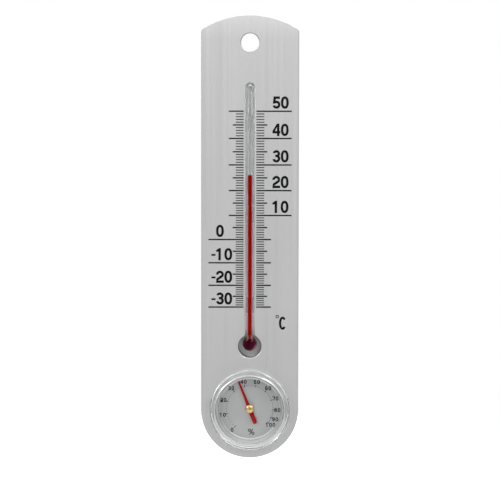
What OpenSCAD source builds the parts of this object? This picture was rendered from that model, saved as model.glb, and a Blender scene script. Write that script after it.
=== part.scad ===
// Wall thermometer with a dial hygrometer on a pressed aluminium plate.
// Millimetres. X runs to the right, Y towards the wall and Z up. The origin is on the
// axis of the hanging hole, in the plane of the plate's back.

/* [Plate] */
// Height of the plate
plate_height = 250; // [240:1:300]
// Width of the plate, and the diameter of its round foot
plate_width = 55; // [52:0.5:66]
// Thickness of the aluminium sheet
sheet_t = 1; // [0.6:0.1:1.5]
// Radius of the shallow arc along the top edge
crown_r = 50.3; // [40:0.1:120]
// Radius of the two top corners
corner_r = 1.7; // [0.5:0.1:4]
// Diameter of the hanging hole
hole_d = 10; // [4:0.5:12]
// Distance from the top edge to the middle of the hanging hole
hole_drop = 15.15; // [12:0.05:20]

/* [Tube] */
// Diameter of the glass tube
tube_d = 4.2; // [3.4:0.1:5]
// Distance from the hanging hole to the tube's top end
tube_top_drop = 23.5; // [20:0.1:30]
// Diameter of the bulb
bulb_d = 8.1; // [7:0.1:9]
// Distance from the middle of the plate's round foot up to the middle of the bulb
bulb_rise = 37.5; // [35:0.05:40]
// Thickness of the bulb's glass
bulb_wall = 0.6; // [0.4:0.05:1]
// Width of the flat bore
bore_w = 1.4; // [0.8:0.02:1.6]
// Thickness of the flat bore from front to back
bore_t = 0.3; // [0.2:0.02:0.5]
// Length of glass above the top of the bore
bore_top_wall = 4; // [3:0.1:6]
// Diameter of the narrow neck between the bore and the bulb
neck_d = 0.6; // [0.4:0.05:0.8]
// Distance from the middle of the bulb up to the lower end of the bore
neck_reach = 5.2; // [4.8:0.1:7]

/* [Channel] */
// Room between the tube and each side of the channel
channel_gap = 0.7; // [0.4:0.05:1]
// Straight part of the channel's sides above its round floor
channel_straight = 0.2; // [0.1:0.05:1]
// Gap between the tube and the floor of the channel
seat_gap = 0.1; // [0.05:0.05:0.3]
// Gap between the tube's top end and the end of the channel
channel_end_gap = 1.1; // [0.5:0.1:2]
// Room between the bulb and the side of its recess
recess_room = 2.5; // [2:0.1:3]
// Gap between the bulb and the floor of its recess
recess_gap = 0.25; // [0.1:0.05:1]
// Distance from the middle of the bulb down to the middle of the recess
recess_shift = 1.4; // [0:0.1:2]
// Radius of the bend between the recess's side and its floor
recess_bend_r = 2; // [1:0.1:3]
// Length of each dab of adhesive under the tube
dab_length = 9; // [4:0.5:14]

/* [Scale] */
// Temperature that the column shows, in degrees
temperature = 26; // [-20:1:45]
// Lowest marked temperature, a multiple of ten
scale_low = -30; // [-30:10:-10]
// Highest marked temperature, a multiple of ten
scale_high = 50; // [30:10:50]
// Distance from the middle of the bulb up to the lowest mark
low_mark_rise = 21; // [18:0.05:24]
// Distance from the tube's top end down to the highest mark
high_mark_drop = 14.9; // [12:0.1:20]
// How fast the degrees grow with the temperature: 0 is an even scale
scale_bend = 0.00156; // [0:0.00002:0.003]
// Distance from the middle line to the inner ends of the marks
mark_start = 3.6; // [3.4:0.1:4.5]
// Length of the marks of single degrees
degree_mark = 4.4; // [3:0.1:5]
// Length of the marks of five degrees
five_mark = 6.1; // [5:0.1:7]
// Length of the short marks of ten degrees
ten_mark = 8.3; // [7:0.1:8.5]
// Distance from the plate's side to the outer ends of the long marks
long_mark_margin = 4.1; // [3:0.1:5]
// Thickness of the single degree marks
fine_line = 0.5; // [0.2:0.02:0.6]
// Thickness of the five and ten degree marks
bold_line = 0.75; // [0.4:0.05:0.8]
// Thickness of the printed ink on the plate
ink_t = 0.05; // [0.02:0.01:0.1]

/* [Numerals] */
// Height of the scale's numerals
digit_h = 6.9; // [5:0.1:7.5]
// Width of the scale's numerals
digit_w = 4.4; // [3.4:0.1:4.4]
// Stroke of the scale's numerals
digit_s = 1.35; // [0.8:0.05:1.4]
// Distance from one numeral's left edge to the next one's
digit_step = 4.7; // [4.5:0.05:5.2]
// Height of the numerals' foot above the middle of their mark
digit_rise = 1.4; // [1:0.1:2]
// Distance from a long mark's outer end back to its numeral
digit_inset = 1.7; // [0.5:0.1:2.5]
// Width of the minus sign
minus_w = 2.3; // [1.8:0.1:2.4]
// Distance from the plate's right side to the unit's C
unit_margin = 6.9; // [5:0.1:9]
// Distance from the lowest mark down to the top of the unit's C
unit_drop = 5.4; // [4:0.1:8]
// Height of the unit's C
unit_h = 7.5; // [5:0.1:8]
// Width of the unit's C
unit_w = 4.1; // [3:0.1:5]
// Stroke of the unit's C
unit_s = 1.25; // [0.7:0.05:1.3]
// Outer diameter of the degree sign
degree_ring_d = 1.9; // [1.4:0.1:2.4]
// Stroke of the degree sign
degree_ring_s = 0.45; // [0.3:0.05:0.6]

/* [Hygrometer] */
// Outer diameter of the crystal
crystal_d = 45.4; // [44:0.1:50]
// Height of the crystal's round rim above the plate's face
rim_height = 5; // [4.6:0.1:8]
// Width of the crystal's round rim
rim_width = 3.1; // [2.6:0.1:3.4]
// Depth of the crystal's window below the top of its rim
window_sink = 1.4; // [0.8:0.1:1.6]
// Thickness of the window
window_t = 1.2; // [0.8:0.1:1.4]
// Thickness of the crystal's skirt
skirt_t = 1.2; // [0.8:0.1:1.3]
// Clearance between pieces that are put into each other
fit_gap = 0.2; // [0.1:0.05:0.3]
// Thickness of the case's flange, in front of the plate
flange_t = 0.8; // [0.5:0.1:1]
// Lap of the case's flange over the plate
flange_lap = 1.2; // [0.8:0.1:1.6]
// Wall of the case at its mouth
mouth_wall = 0.9; // [0.6:0.1:1.1]
// Wall of the case around its chamber
case_wall = 1.5; // [1:0.1:2]
// Thickness of the case's floor
case_floor_t = 1.6; // [1.5:0.1:2.5]
// Depth of the chamber behind the dial
chamber_depth = 4.5; // [4.5:0.1:7]
// Radial width of the ring that holds the case
ring_width = 2; // [1.2:0.1:3]
// Thickness of the ring that holds the case
ring_t = 1.6; // [1:0.1:2.2]
// Number of vents in the case's floor
vent_count = 6; // [4:1:8]
// Width of a vent
vent_w = 1.8; // [1:0.1:2.5]
// Length of a vent
vent_length = 5; // [3:0.1:5.5]

/* [Dial] */
// Depth of the dial behind the plate's face
dial_depth = 4; // [3.8:0.1:6]
// Radial draw of the case's sloping wall, from its mouth to the dial
wall_draw = 0.6; // [0.5:0.1:1.5]
// Thickness of the dial
dial_t = 0.4; // [0.3:0.05:0.6]
// Humidity that the needle shows, in percent
humidity = 37; // [5:1:95]
// Angle of the zero mark, clockwise from the top
dial_start = -140.8; // [-150:0.1:-130]
// Distance from the dial's edge to the inner ends of its marks
dial_mark_inset = 5.3; // [4.8:0.1:6]
// Length of the dial's ten percent marks
dial_mark = 1.35; // [1:0.05:1.6]
// Thickness of the dial's ten percent marks
dial_line = 0.38; // [0.2:0.02:0.6]
// Diameter of the dots between the dial's marks
dial_dot_d = 0.4; // [0.3:0.02:0.6]
// Distance from the dial's edge to the middle of its numerals
dial_digit_inset = 2.1; // [1.8:0.1:2.6]
// Height of the dial's numerals
dial_digit_h = 2.4; // [1.8:0.1:2.8]
// Width of the dial's numerals
dial_digit_w = 1.55; // [1.1:0.05:1.8]
// Stroke of the dial's numerals
dial_digit_s = 0.45; // [0.25:0.01:0.5]
// Distance from one of the dial's numerals to the next
dial_digit_step = 2; // [1.6:0.05:2.1]
// Distance that a number of three digits stands further in than the others
wide_number_inset = 0.65; // [0.5:0.05:1.2]
// Height of the percent sign
percent_h = 3.4; // [2:0.1:4]
// Distance from the dial's edge to the middle of the percent sign
percent_inset = 4.6; // [4:0.1:6]
// Distance from the middle line to the percent sign's middle, on its right
percent_side = 0.9; // [0:0.1:1.5]
// Thickness of the printed ink on the dial
dial_ink_t = 0.03; // [0.02:0.01:0.08]

/* [Movement] */
// Distance from the needle's tip to the edge of the dial
tip_gap = 0.9; // [0.5:0.1:3]
// Length of the needle's tail
tail_length = 9.3; // [5:0.1:10]
// Width of the needle at its tip
tip_w = 1.05; // [0.4:0.05:1.2]
// Width of the needle near its hub
root_w = 2; // [1.2:0.1:2.2]
// Width of the tail
tail_w = 2.5; // [1.4:0.1:2.8]
// Thickness of the needle
needle_t = 0.25; // [0.15:0.05:0.4]
// Gap between the needle's back and the bearing's front
needle_lift = 1.25; // [1:0.05:1.6]
// Diameter of the brass cap
cap_d = 4.8; // [3.6:0.1:5.4]
// Height of the brass cap
cap_h = 1.1; // [0.9:0.1:1.5]
// Radius of the arbor's pivots
arbor_r = 0.4; // [0.3:0.05:0.6]
// Running clearance around the arbor
arbor_gap = 0.02; // [0.01:0.01:0.05]
// Radius of the dial's bearing
bush_r = 1; // [0.9:0.1:1.4]
// Radius of the collet on the arbor
collet_r = 1.2; // [1:0.1:1.5]
// Thickness of the coil's strip
coil_t = 0.15; // [0.1:0.01:0.25]
// Width of the coil's strip
coil_w = 2; // [1:0.1:2.2]
// Radius of the coil's outer end
coil_r = 8; // [6:0.1:10]
// Number of turns in the coil
coil_turns = 5.5; // [3:0.5:7]
// Radius of the pin at the coil's outer end
stud_r = 0.5; // [0.4:0.05:0.8]
// Radius of the adjuster's boss
boss_r = 2.4; // [2.2:0.1:3]
// Radius of the adjuster's inner flange
adjuster_flange_r = 3.4; // [3.2:0.1:5]
// Running clearance around the adjuster's boss
boss_gap = 0.05; // [0.03:0.01:0.1]
// Thickness of the adjuster's clip
clip_t = 0.3; // [0.2:0.05:0.4]
// Width of the screwdriver slot
slot_w = 0.8; // [0.5:0.1:1.2]

/* [Hidden] */
$fn = 96;
// Overshoot of cutting shapes past the faces that they cut
cut = 0.5;

// Plate
face_y = -sheet_t;
top_z = hole_drop;
foot_r = plate_width / 2;
foot_z = top_z - plate_height + foot_r;
crown_z = top_z - crown_r;
corner_x = foot_r - corner_r;
corner_z = crown_z + sqrt(pow(crown_r - corner_r, 2) - pow(corner_x, 2));
corner_lean = atan2(corner_x, corner_z - crown_z);
side_top_z = crown_z + sqrt(pow(crown_r, 2) - pow(foot_r, 2));

// Tube in its channel
tube_r = tube_d / 2;
bulb_r = bulb_d / 2;
channel_r = tube_r + channel_gap;
channel_y = face_y + channel_straight;
tube_y = channel_y + channel_r - seat_gap - tube_r;
tube_top_z = -tube_top_drop;
channel_top_z = tube_top_z + channel_end_gap - channel_r;
bulb_z = foot_z + bulb_rise;
recess_r = bulb_r + recess_room;
recess_z = bulb_z - recess_shift;
recess_floor_y = tube_y + bulb_r + recess_gap;
bore_top_z = tube_top_z - bore_top_wall;
bore_low_z = bulb_z + neck_reach;
spirit_r = bulb_r - bulb_wall;
low_mark_z = bulb_z + low_mark_rise;
high_mark_z = tube_top_z - high_mark_drop;
long_mark_end = foot_r - long_mark_margin;

// Meniscus, which slides in the bore
meniscus_gap = 0.02;
meniscus_h = 4;
meniscus_z = mark_z(temperature) - meniscus_h;

// Crystal and case, outside in
crystal_r = crystal_d / 2;
rim_r = rim_width / 2;
rim_y = face_y - rim_height + rim_r;
window_y = face_y - rim_height + window_sink;
window_back_y = window_y + window_t;
flange_r = crystal_r - skirt_t - fit_gap;
gauge_hole_r = flange_r - flange_lap;
barrel_r = gauge_hole_r - fit_gap;
mouth_r = barrel_r - mouth_wall;
collar_r = crystal_r - rim_width + fit_gap;
flange_y = face_y - flange_t;
collar_y = window_back_y + fit_gap / 2;
seat_r = mouth_r - wall_draw;
dial_r = seat_r - fit_gap / 2;
dial_y = face_y + dial_depth;
dial_back_y = dial_y + dial_t;
dial_mark_r = dial_r - dial_mark_inset;
dial_digit_r = dial_r - dial_digit_inset;
chamber_r = dial_r - mouth_wall;
chamber_y = dial_back_y + chamber_depth;
case_back_y = chamber_y + case_floor_t;
barrel_end_y = dial_back_y + mouth_wall;
body_r = chamber_r + case_wall;
vent_r = (adjuster_flange_r + chamber_r) / 2;

// Needle, arbor and coil, front to back
bush_flange_t = 0.4;
bush_flange_r = bush_r + 0.5;
bush_front_y = dial_y - bush_flange_t;
bush_end_y = dial_back_y + bush_flange_t;
needle_back_y = bush_front_y - needle_lift;
needle_y = needle_back_y - needle_t;
needle_length = dial_r - tip_gap;
cap_y = needle_y - cap_h;
cap_rim = 0.35;
cap_bore = 0.6;
shoulder_r = 2 * arbor_r;
shoulder_gap = 0.1;
end_play = 0.1;
adjuster_gap = 0.05;
adjuster_t = 0.9;
adjuster_back_y = chamber_y - adjuster_gap;
adjuster_y = adjuster_back_y - adjuster_t;
coil_mid_y = (bush_end_y + adjuster_y) / 2;
coil_y = coil_mid_y - coil_w / 2;
collet_h = coil_w + 0.4;
coil_inner_r = collet_r + coil_t / 2;
coil_steps = 24;
stud_place = coil_r + coil_t / 2 + stud_r;
arm_w = 4 * stud_r;
arm_end = stud_place + 2 * stud_r;
counterbore_r = adjuster_flange_r + 0.6;
counterbore_depth = 0.8;
counterbore_y = case_back_y - counterbore_depth;
clip_y = counterbore_y + adjuster_gap;
groove_r = boss_r - 0.5;
clip_r = boss_r + 0.9;
boss_back_y = case_back_y - 0.2;
slot_depth = 0.6;

// The dial's scale is not even: degrees between its ten percent marks
dial_steps = [37.7, 31.3, 29.9, 29.2, 27.6, 27, 26.4, 24.7, 20, 15.2];
dots_per_step = 5;
needle_angle = dial_angle(humidity);

// Degrees from the lowest mark up to a temperature, bent as the scale is
function degrees_bent(t) = t - scale_low + scale_bend * (t * t - scale_low * scale_low);

// Height of a temperature's mark
function mark_z(t) = low_mark_z + (high_mark_z - low_mark_z) * degrees_bent(t) / degrees_bent(scale_high);

// Sum of the first n members of a list
function sum(list, n) = n <= 0 ? 0 : list[n - 1] + sum(list, n - 1);

// Angle on the dial, clockwise from the top, of a humidity in percent
function dial_angle(h) =
    let (tens = min(floor(h / 10), len(dial_steps) - 1))
    dial_start + sum(dial_steps, tens) + dial_steps[tens] * (h / 10 - tens);

// Points along an elliptical arc
function arc(cx, cy, rx, ry, a0, a1, n = 16) =
    [for (i = [0 : n]) let (a = a0 + (a1 - a0) * i / n) [cx + rx * cos(a), cy + ry * sin(a)]];

// A power that keeps the sign, for ovals with flattened sides
function signed_pow(v, k) = sign(v) * pow(abs(v), k);

// Points around an upright oval; squareness below 1 flattens its sides
function oval(cx, cy, rx, ry, squareness = 0.88, n = 32) =
    [for (i = [0 : n - 1]) let (a = 360 * i / n)
        [cx + rx * signed_pow(cos(a), squareness), cy + ry * signed_pow(sin(a), squareness)]];

// Direction of a path at its point i, and the point beside it at a distance
function heading(p, i) =
    let (a = p[max(i - 1, 0)], b = p[min(i + 1, len(p) - 1)]) (b - a) / norm(b - a);
function beside(p, i, d) = let (h = heading(p, i)) p[i] + d * [-h[1], h[0]];

// A flat stroke of an even width along a path
module stroke(p, w) {
    polygon(concat([for (i = [0 : len(p) - 1]) beside(p, i, w / 2)],
        [for (i = [len(p) - 1 : -1 : 0]) beside(p, i, -w / 2)]));
}

// A closed oval ring
module oval_ring(cx, cy, rx, ry, s) {
    difference() {
        polygon(oval(cx, cy, rx + s / 2, ry + s / 2));
        polygon(oval(cx, cy, rx - s / 2, ry - s / 2));
    }
}

// Height of the waist of the numerals 3 and 8
function waist(h) = 0.53 * h;

// Where the outside of a round of height radius ry meets the waist
function waist_angle(ry, s) = asin(ry / (ry + s / 2));

// Numerals in a cell h high and w wide, drawn with a stroke s
module numeral_0(h, w, s) {
    oval_ring(w / 2, h / 2, (w - s) / 2, (h - s) / 2, s);
}

module numeral_1(h, w, s) {
    left = 0.3 * w;
    right = left + s;
    polygon([[0, 0.7 * h], [0, 0.81 * h], [left + s / 4, h], [right, h], [right, 0], [left, 0],
        [left, 0.7 * h]]);
}

module numeral_2(h, w, s) {
    rx = (w - s) / 2;
    ry = 0.25 * h - s / 5;
    path = concat(arc(w / 2, h - s / 2 - ry, rx, ry, 185, -35), [[0.42 * s, 1.37 * s]]);
    last = len(path) - 1;
    polygon(concat([for (i = [0 : last]) beside(path, i, s / 2)], [[0.8 * s, s], [w, s], [w, 0], [0, 0]],
        [for (i = [last : -1 : 0]) beside(path, i, -s / 2)]));
}

module numeral_3(h, w, s) {
    rx = (w - s) / 2;
    upper = (h - s / 2 - waist(h)) / 2;
    lower = (waist(h) - s / 2) / 2;
    upper_rx = 0.93 * rx;
    bar_x = 0.36 * w;
    polygon(concat(
        arc(w / 2, waist(h) + upper, upper_rx + s / 2, upper + s / 2, 165, -waist_angle(upper, s)),
        arc(w / 2, waist(h) - lower, rx + s / 2, lower + s / 2, waist_angle(lower, s), -168),
        arc(w / 2, waist(h) - lower, rx - s / 2, lower - s / 2, -168, 90),
        [[bar_x, waist(h) - s / 2], [bar_x, waist(h) + s / 2]],
        arc(w / 2, waist(h) + upper, upper_rx - s / 2, upper - s / 2, -90, 165)));
}

module numeral_4(h, w, s) {
    stem = 0.58 * w;
    bar = 0.21 * h;
    difference() {
        polygon([[0, bar], [0, bar + s], [stem - 0.1 * s, h], [stem + s, h], [stem + s, bar + s],
            [w, bar + s], [w, bar], [stem + s, bar], [stem + s, 0], [stem, 0], [stem, bar]]);
        polygon([[s, bar + s], [stem, bar + s], [stem, h - 1.4 * s]]);
    }
}

module numeral_5(h, w, s) {
    ry = 0.33 * h;
    foot = 0.42 * h;
    polygon(concat([[0.14 * w, h], [0.93 * w, h], [0.93 * w, h - s], [0.12 * w + s, h - s],
        [0.08 * w + s, 0.61 * h]],
        arc(w / 2, ry, w / 2, ry, 98, -165),
        arc(w / 2, ry, w / 2 - s, ry - s, -165, 130),
        [[0.04 * w + 0.9 * s, foot], [0.03 * w, foot]]));
}

module numeral_6(h, w, s) {
    ry = 0.31 * h;
    difference() {
        polygon(concat(arc(w / 2, h / 2, w / 2, h / 2, 35, 180), arc(w / 2, ry, w / 2, ry, 180, 472, 28),
            arc(w / 2, h / 2, w / 2 - s, h / 2 - s, 160, 35)));
        polygon(oval(w / 2, ry, w / 2 - s, ry - s));
    }
}

module numeral_7(h, w, s) {
    polygon([[0, h], [w, h], [w, h - s], [0.4 * w + s, 0], [0.4 * w, 0], [w - 1.2 * s, h - s], [0, h - s]]);
}

module numeral_8(h, w, s) {
    rx = (w - s) / 2;
    upper = (h - s / 2 - waist(h)) / 2;
    lower = (waist(h) - s / 2) / 2;
    upper_rx = 0.9 * rx;
    upper_a = waist_angle(upper, s);
    lower_a = waist_angle(lower, s);
    difference() {
        polygon(concat(
            arc(w / 2, waist(h) + upper, upper_rx + s / 2, upper + s / 2, -upper_a, 180 + upper_a, 24),
            arc(w / 2, waist(h) - lower, rx + s / 2, lower + s / 2, 180 - lower_a, 360 + lower_a, 24)));
        polygon(oval(w / 2, waist(h) + upper, upper_rx - s / 2, upper - s / 2));
        polygon(oval(w / 2, waist(h) - lower, rx - s / 2, lower - s / 2));
    }
}

module numeral_9(h, w, s) {
    translate([w, h]) rotate(180) numeral_6(h, w, s);
}

module numeral(n, h, w, s) {
    if (n == 0) numeral_0(h, w, s);
    if (n == 1) numeral_1(h, w, s);
    if (n == 2) numeral_2(h, w, s);
    if (n == 3) numeral_3(h, w, s);
    if (n == 4) numeral_4(h, w, s);
    if (n == 5) numeral_5(h, w, s);
    if (n == 6) numeral_6(h, w, s);
    if (n == 7) numeral_7(h, w, s);
    if (n == 8) numeral_8(h, w, s);
    if (n == 9) numeral_9(h, w, s);
}

// A number of one to three digits, from its left edge
module number(n, h, w, s, step) {
    count = n >= 100 ? 3 : n >= 10 ? 2 : 1;
    for (i = [0 : count - 1]) {
        value = floor(n / pow(10, count - 1 - i)) % 10;
        translate([i * step, 0]) numeral(value, h, w, s);
    }
}

// A flat shape on a plane that faces the front, thick towards the viewer
module on_front(y, t) {
    translate([0, y, 0]) rotate([90, 0, 0]) linear_extrude(t) children();
}

// A shape about the hygrometer's axis; its Z runs towards the wall
module on_gauge_axis() {
    translate([0, 0, foot_z]) rotate([-90, 0, 0]) children();
}

// A turned piece about the hygrometer's axis from radius and depth
module turned(y0, y1, r) {
    on_gauge_axis() translate([0, 0, y0]) cylinder(h = y1 - y0, r = r);
}

// Outline of the plate
module plate_outline() {
    difference() {
        translate([-foot_r, foot_z - foot_r]) square([plate_width, plate_height]);
        crown_cut();
        for (side = [-1, 1]) corner_cut(side);
        foot_cut();
    }
}

// What lies above the arc of the top edge
module crown_cut() {
    difference() {
        translate([-foot_r - cut, side_top_z - cut]) square([plate_width + 2 * cut, top_z - side_top_z + 2 * cut]);
        translate([0, crown_z]) circle(crown_r);
    }
}

// What lies around the round foot
module foot_cut() {
    difference() {
        translate([-foot_r - cut, foot_z - foot_r - cut]) square([plate_width + 2 * cut, foot_r + cut]);
        translate([0, foot_z]) circle(foot_r);
    }
}

// The sliver outside the round of one top corner
module corner_cut(side) {
    reach = corner_r + cut;
    difference() {
        polygon([[side * corner_x, corner_z], [side * (corner_x + reach), corner_z],
            [side * (corner_x + reach), side_top_z + reach],
            [side * (corner_x + reach * sin(corner_lean)), corner_z + reach * cos(corner_lean)]]);
        translate([side * corner_x, corner_z]) circle(corner_r);
    }
}

// The channel's round trough, grown by a wall
module trough(wall) {
    length = channel_top_z - bulb_z;
    translate([0, channel_y, bulb_z]) cylinder(h = length, r = channel_r + wall);
    translate([0, channel_y, channel_top_z]) sphere(channel_r + wall);
}

// The channel's hollow, open to the front
module channel_hollow() {
    trough(0);
    on_front(channel_y, channel_straight + cut) {
        translate([-channel_r, bulb_z]) square([2 * channel_r, channel_top_z - bulb_z]);
        translate([0, channel_top_z]) circle(channel_r);
    }
}

// The bulb's recess, grown by a wall, from a depth to its bent floor
module recess(y0, wall) {
    r = recess_r + wall;
    bend = recess_bend_r + wall;
    depth = recess_floor_y + wall - y0;
    translate([0, y0, recess_z]) rotate([-90, 0, 0]) rotate_extrude() {
        square([r, depth - bend]);
        square([r - bend, depth]);
        translate([r - bend, depth - bend]) intersection() {
            circle(bend);
            square(bend);
        }
    }
}

module face_plate() {
    color([0.76, 0.76, 0.76]) difference() {
        union() {
            on_front(0, sheet_t) plate_outline();
            intersection() {
                trough(sheet_t);
                translate([-foot_r, -sheet_t / 2, bulb_z - cut]) cube([plate_width, plate_width, -bulb_z]);
            }
            recess(-sheet_t / 2, sheet_t);
        }
        channel_hollow();
        recess(face_y - cut, 0);
        translate([0, face_y - cut, 0]) rotate([-90, 0, 0]) cylinder(h = sheet_t + 2 * cut, d = hole_d);
        turned(face_y - cut, cut, gauge_hole_r);
    }
}

// One mark on the plate, from an inner end to an outer end
module mark(side, z, x1, w) {
    low_x = side > 0 ? mark_start : -x1;
    translate([low_x, z - w / 2]) square([x1 - mark_start, w]);
}

module scale_graduations() {
    color([0.1, 0.1, 0.1]) on_front(face_y, ink_t)
        for (t = [scale_low : scale_high], side = [-1, 1]) {
            ten = t % 10 == 0;
            five = t % 5 == 0;
            long = ten && side == (t > 0 ? 1 : -1);
            reach = ten ? ten_mark : five ? five_mark : degree_mark;
            mark(side, mark_z(t), long ? long_mark_end : mark_start + reach, five ? bold_line : fine_line);
        }
}

module scale_numerals() {
    right_x = long_mark_end - digit_inset - digit_w - digit_step;
    left_x = -long_mark_end + digit_inset + minus_w + (digit_step - digit_w);
    color([0.06, 0.06, 0.06]) on_front(face_y, ink_t)
        for (t = [scale_low : 10 : scale_high]) translate([t > 0 ? right_x : left_x, mark_z(t) + digit_rise]) {
            number(abs(t), digit_h, digit_w, digit_s, digit_step);
            if (t < 0) translate([digit_w - digit_step - minus_w, 0.37 * digit_h]) square([minus_w, 0.75 * digit_s]);
        }
}

module unit_mark() {
    top = low_mark_z - unit_drop;
    unit_x = foot_r - unit_margin - unit_w;
    ring_r = degree_ring_d / 2;
    color([0.06, 0.06, 0.06]) on_front(face_y, ink_t) {
        translate([unit_x, top - unit_h])
            stroke(arc(unit_w / 2, unit_h / 2, (unit_w - unit_s) / 2, (unit_h - unit_s) / 2, 40, 320, 28), unit_s);
        translate([unit_x - ring_r, top]) difference() {
            circle(ring_r);
            circle(ring_r - degree_ring_s);
        }
    }
}

// Section of the flat bore, smaller by a gap
module bore_section(gap) {
    r = bore_t / 2 - gap;
    reach = bore_w / 2 - gap - r;
    square([2 * reach, 2 * r], center = true);
    for (side = [-1, 1]) translate([side * reach, 0]) circle(r);
}

// A length of the bore between two heights
module bore(z0, z1, gap) {
    translate([0, tube_y, z0]) linear_extrude(z1 - z0) bore_section(gap);
}

// Outside of the glass
module tube_body() {
    translate([0, tube_y, bulb_z]) {
        cylinder(h = tube_top_z - tube_r - bulb_z, r = tube_r);
        translate([0, 0, tube_top_z - tube_r - bulb_z]) sphere(tube_r);
        sphere(bulb_r);
    }
}

// The spirit's space in the bulb and its neck
module bulb_space() {
    translate([0, tube_y, bulb_z]) {
        sphere(spirit_r);
        cylinder(h = neck_reach, d = neck_d);
    }
}

module thermometer_tube() {
    color([0.85, 0.9, 0.9, 0.5]) difference() {
        tube_body();
        bulb_space();
        bore(bore_low_z, bore_top_z, 0);
    }
}

module bulb_spirit() {
    color([0.3, 0.02, 0.06]) difference() {
        bulb_space();
        bore(bore_low_z, bore_top_z, 0);
    }
}

module spirit_column() {
    color([0.6, 0.03, 0.03]) bore(bore_low_z, meniscus_z, 0);
}

module spirit_meniscus() {
    color([0.6, 0.03, 0.03]) bore(meniscus_z, meniscus_z + meniscus_h, meniscus_gap);
}

module tube_adhesive() {
    span = tube_top_z - bulb_z;
    color([0.9, 0.9, 0.85, 0.6]) for (share = [0.15, 0.5, 0.85]) difference() {
        intersection() {
            trough(0);
            translate([-channel_r, tube_y + tube_r / 2, bulb_z + share * span - dab_length / 2])
                cube([2 * channel_r, channel_r, dab_length]);
        }
        tube_body();
    }
}

// One vent, a slot with round ends along a radius
module vent() {
    reach = (vent_length - vent_w) / 2;
    translate([vent_r, 0]) {
        square([2 * reach, vent_w], center = true);
        for (side = [-1, 1]) translate([side * reach, 0]) circle(vent_w / 2);
    }
}

module hygrometer_case() {
    color([0.8, 0.8, 0.8]) difference() {
        on_gauge_axis() rotate_extrude() polygon([
            [0, chamber_y], [chamber_r, chamber_y], [chamber_r, dial_back_y], [seat_r, dial_back_y],
            [seat_r, dial_y], [mouth_r, collar_y], [collar_r, collar_y], [collar_r, flange_y],
            [flange_r, flange_y], [flange_r, face_y], [barrel_r, face_y], [barrel_r, barrel_end_y],
            [body_r, barrel_end_y], [body_r, case_back_y], [0, case_back_y]]);
        turned(chamber_y - cut, case_back_y + cut, boss_r + boss_gap);
        turned(counterbore_y, case_back_y + cut, counterbore_r);
        on_gauge_axis() translate([0, 0, chamber_y - cut]) linear_extrude(case_floor_t + 2 * cut)
            for (i = [0 : vent_count - 1]) rotate(360 * i / vent_count) vent();
    }
}

module case_ring() {
    notch = ring_width;
    outer = barrel_r + ring_width;
    color([0.75, 0.75, 0.75]) difference() {
        turned(0, ring_t, outer);
        turned(-cut, ring_t + cut, barrel_r);
        for (side = [0, 180]) translate([0, 0, foot_z]) rotate([0, side, 0])
            translate([outer - notch / 2, ring_t / 2, -notch / 2]) cube([notch, ring_t, notch]);
    }
}

module crystal() {
    skirt_r = crystal_r - skirt_t;
    color([0.9, 0.93, 0.95, 0.4]) on_gauge_axis() rotate_extrude() {
        translate([crystal_r - rim_r, rim_y]) circle(rim_r);
        translate([skirt_r, rim_y]) square([skirt_t, face_y - rim_y]);
        translate([0, window_y]) square([crystal_r - rim_r, window_t]);
    }
}

module dial_plate() {
    color([0.68, 0.68, 0.68]) difference() {
        turned(dial_y, dial_back_y, dial_r);
        turned(dial_y - cut, dial_back_y + cut, bush_r);
    }
}

module dial_graduations() {
    last = len(dial_steps);
    color([0.12, 0.12, 0.12]) on_front(dial_y, dial_ink_t) translate([0, foot_z]) {
        for (i = [0 : last]) rotate(-dial_angle(10 * i))
            translate([-dial_line / 2, dial_mark_r]) square([dial_line, dial_mark]);
        for (i = [0 : last - 1], j = [1 : dots_per_step - 1])
            rotate(-dial_angle(10 * (i + j / dots_per_step)))
                translate([0, dial_mark_r + dial_mark / 2]) circle(d = dial_dot_d);
    }
}

// Width of a number on the dial, and the radius of its middle
function dial_number_w(n) = dial_digit_w + (n >= 100 ? 2 : n >= 10 ? 1 : 0) * dial_digit_step;
function dial_number_r(n) = dial_digit_r - (n >= 100 ? wide_number_inset : 0);

module percent_sign(h) {
    r = 0.2 * h;
    s = 0.13 * h;
    for (side = [-1, 1]) translate([side * 0.3 * h, -side * 0.26 * h]) difference() {
        circle(r + s / 2);
        circle(r - s / 2);
    }
    stroke([[-0.3 * h, -h / 2], [0.3 * h, h / 2]], s);
}

module dial_numerals() {
    color([0.12, 0.12, 0.12]) on_front(dial_y, dial_ink_t) translate([0, foot_z]) {
        for (i = [0 : len(dial_steps)]) {
            a = dial_angle(10 * i);
            r = dial_number_r(10 * i);
            translate([r * sin(a) - dial_number_w(10 * i) / 2, r * cos(a) - dial_digit_h / 2])
                number(10 * i, dial_digit_h, dial_digit_w, dial_digit_s, dial_digit_step);
        }
        translate([percent_side, percent_inset - dial_r]) percent_sign(percent_h);
    }
}

module dial_bush() {
    color([0.8, 0.66, 0.36]) difference() {
        union() {
            turned(bush_front_y, dial_y, bush_flange_r);
            turned(dial_y, dial_back_y, bush_r);
            turned(dial_back_y, bush_end_y, bush_flange_r);
        }
        turned(bush_front_y - cut, bush_end_y + cut, arbor_r + arbor_gap);
    }
}

module arbor() {
    color([0.7, 0.7, 0.72]) {
        turned(cap_y + cap_h - cap_bore, adjuster_back_y - end_play, arbor_r);
        turned(needle_back_y, bush_front_y - shoulder_gap, shoulder_r);
    }
}

module coil_collet() {
    color([0.8, 0.66, 0.36]) difference() {
        turned(coil_mid_y - collet_h / 2, coil_mid_y + collet_h / 2, collet_r);
        turned(coil_mid_y - collet_h, coil_mid_y + collet_h, arbor_r);
    }
}

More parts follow.
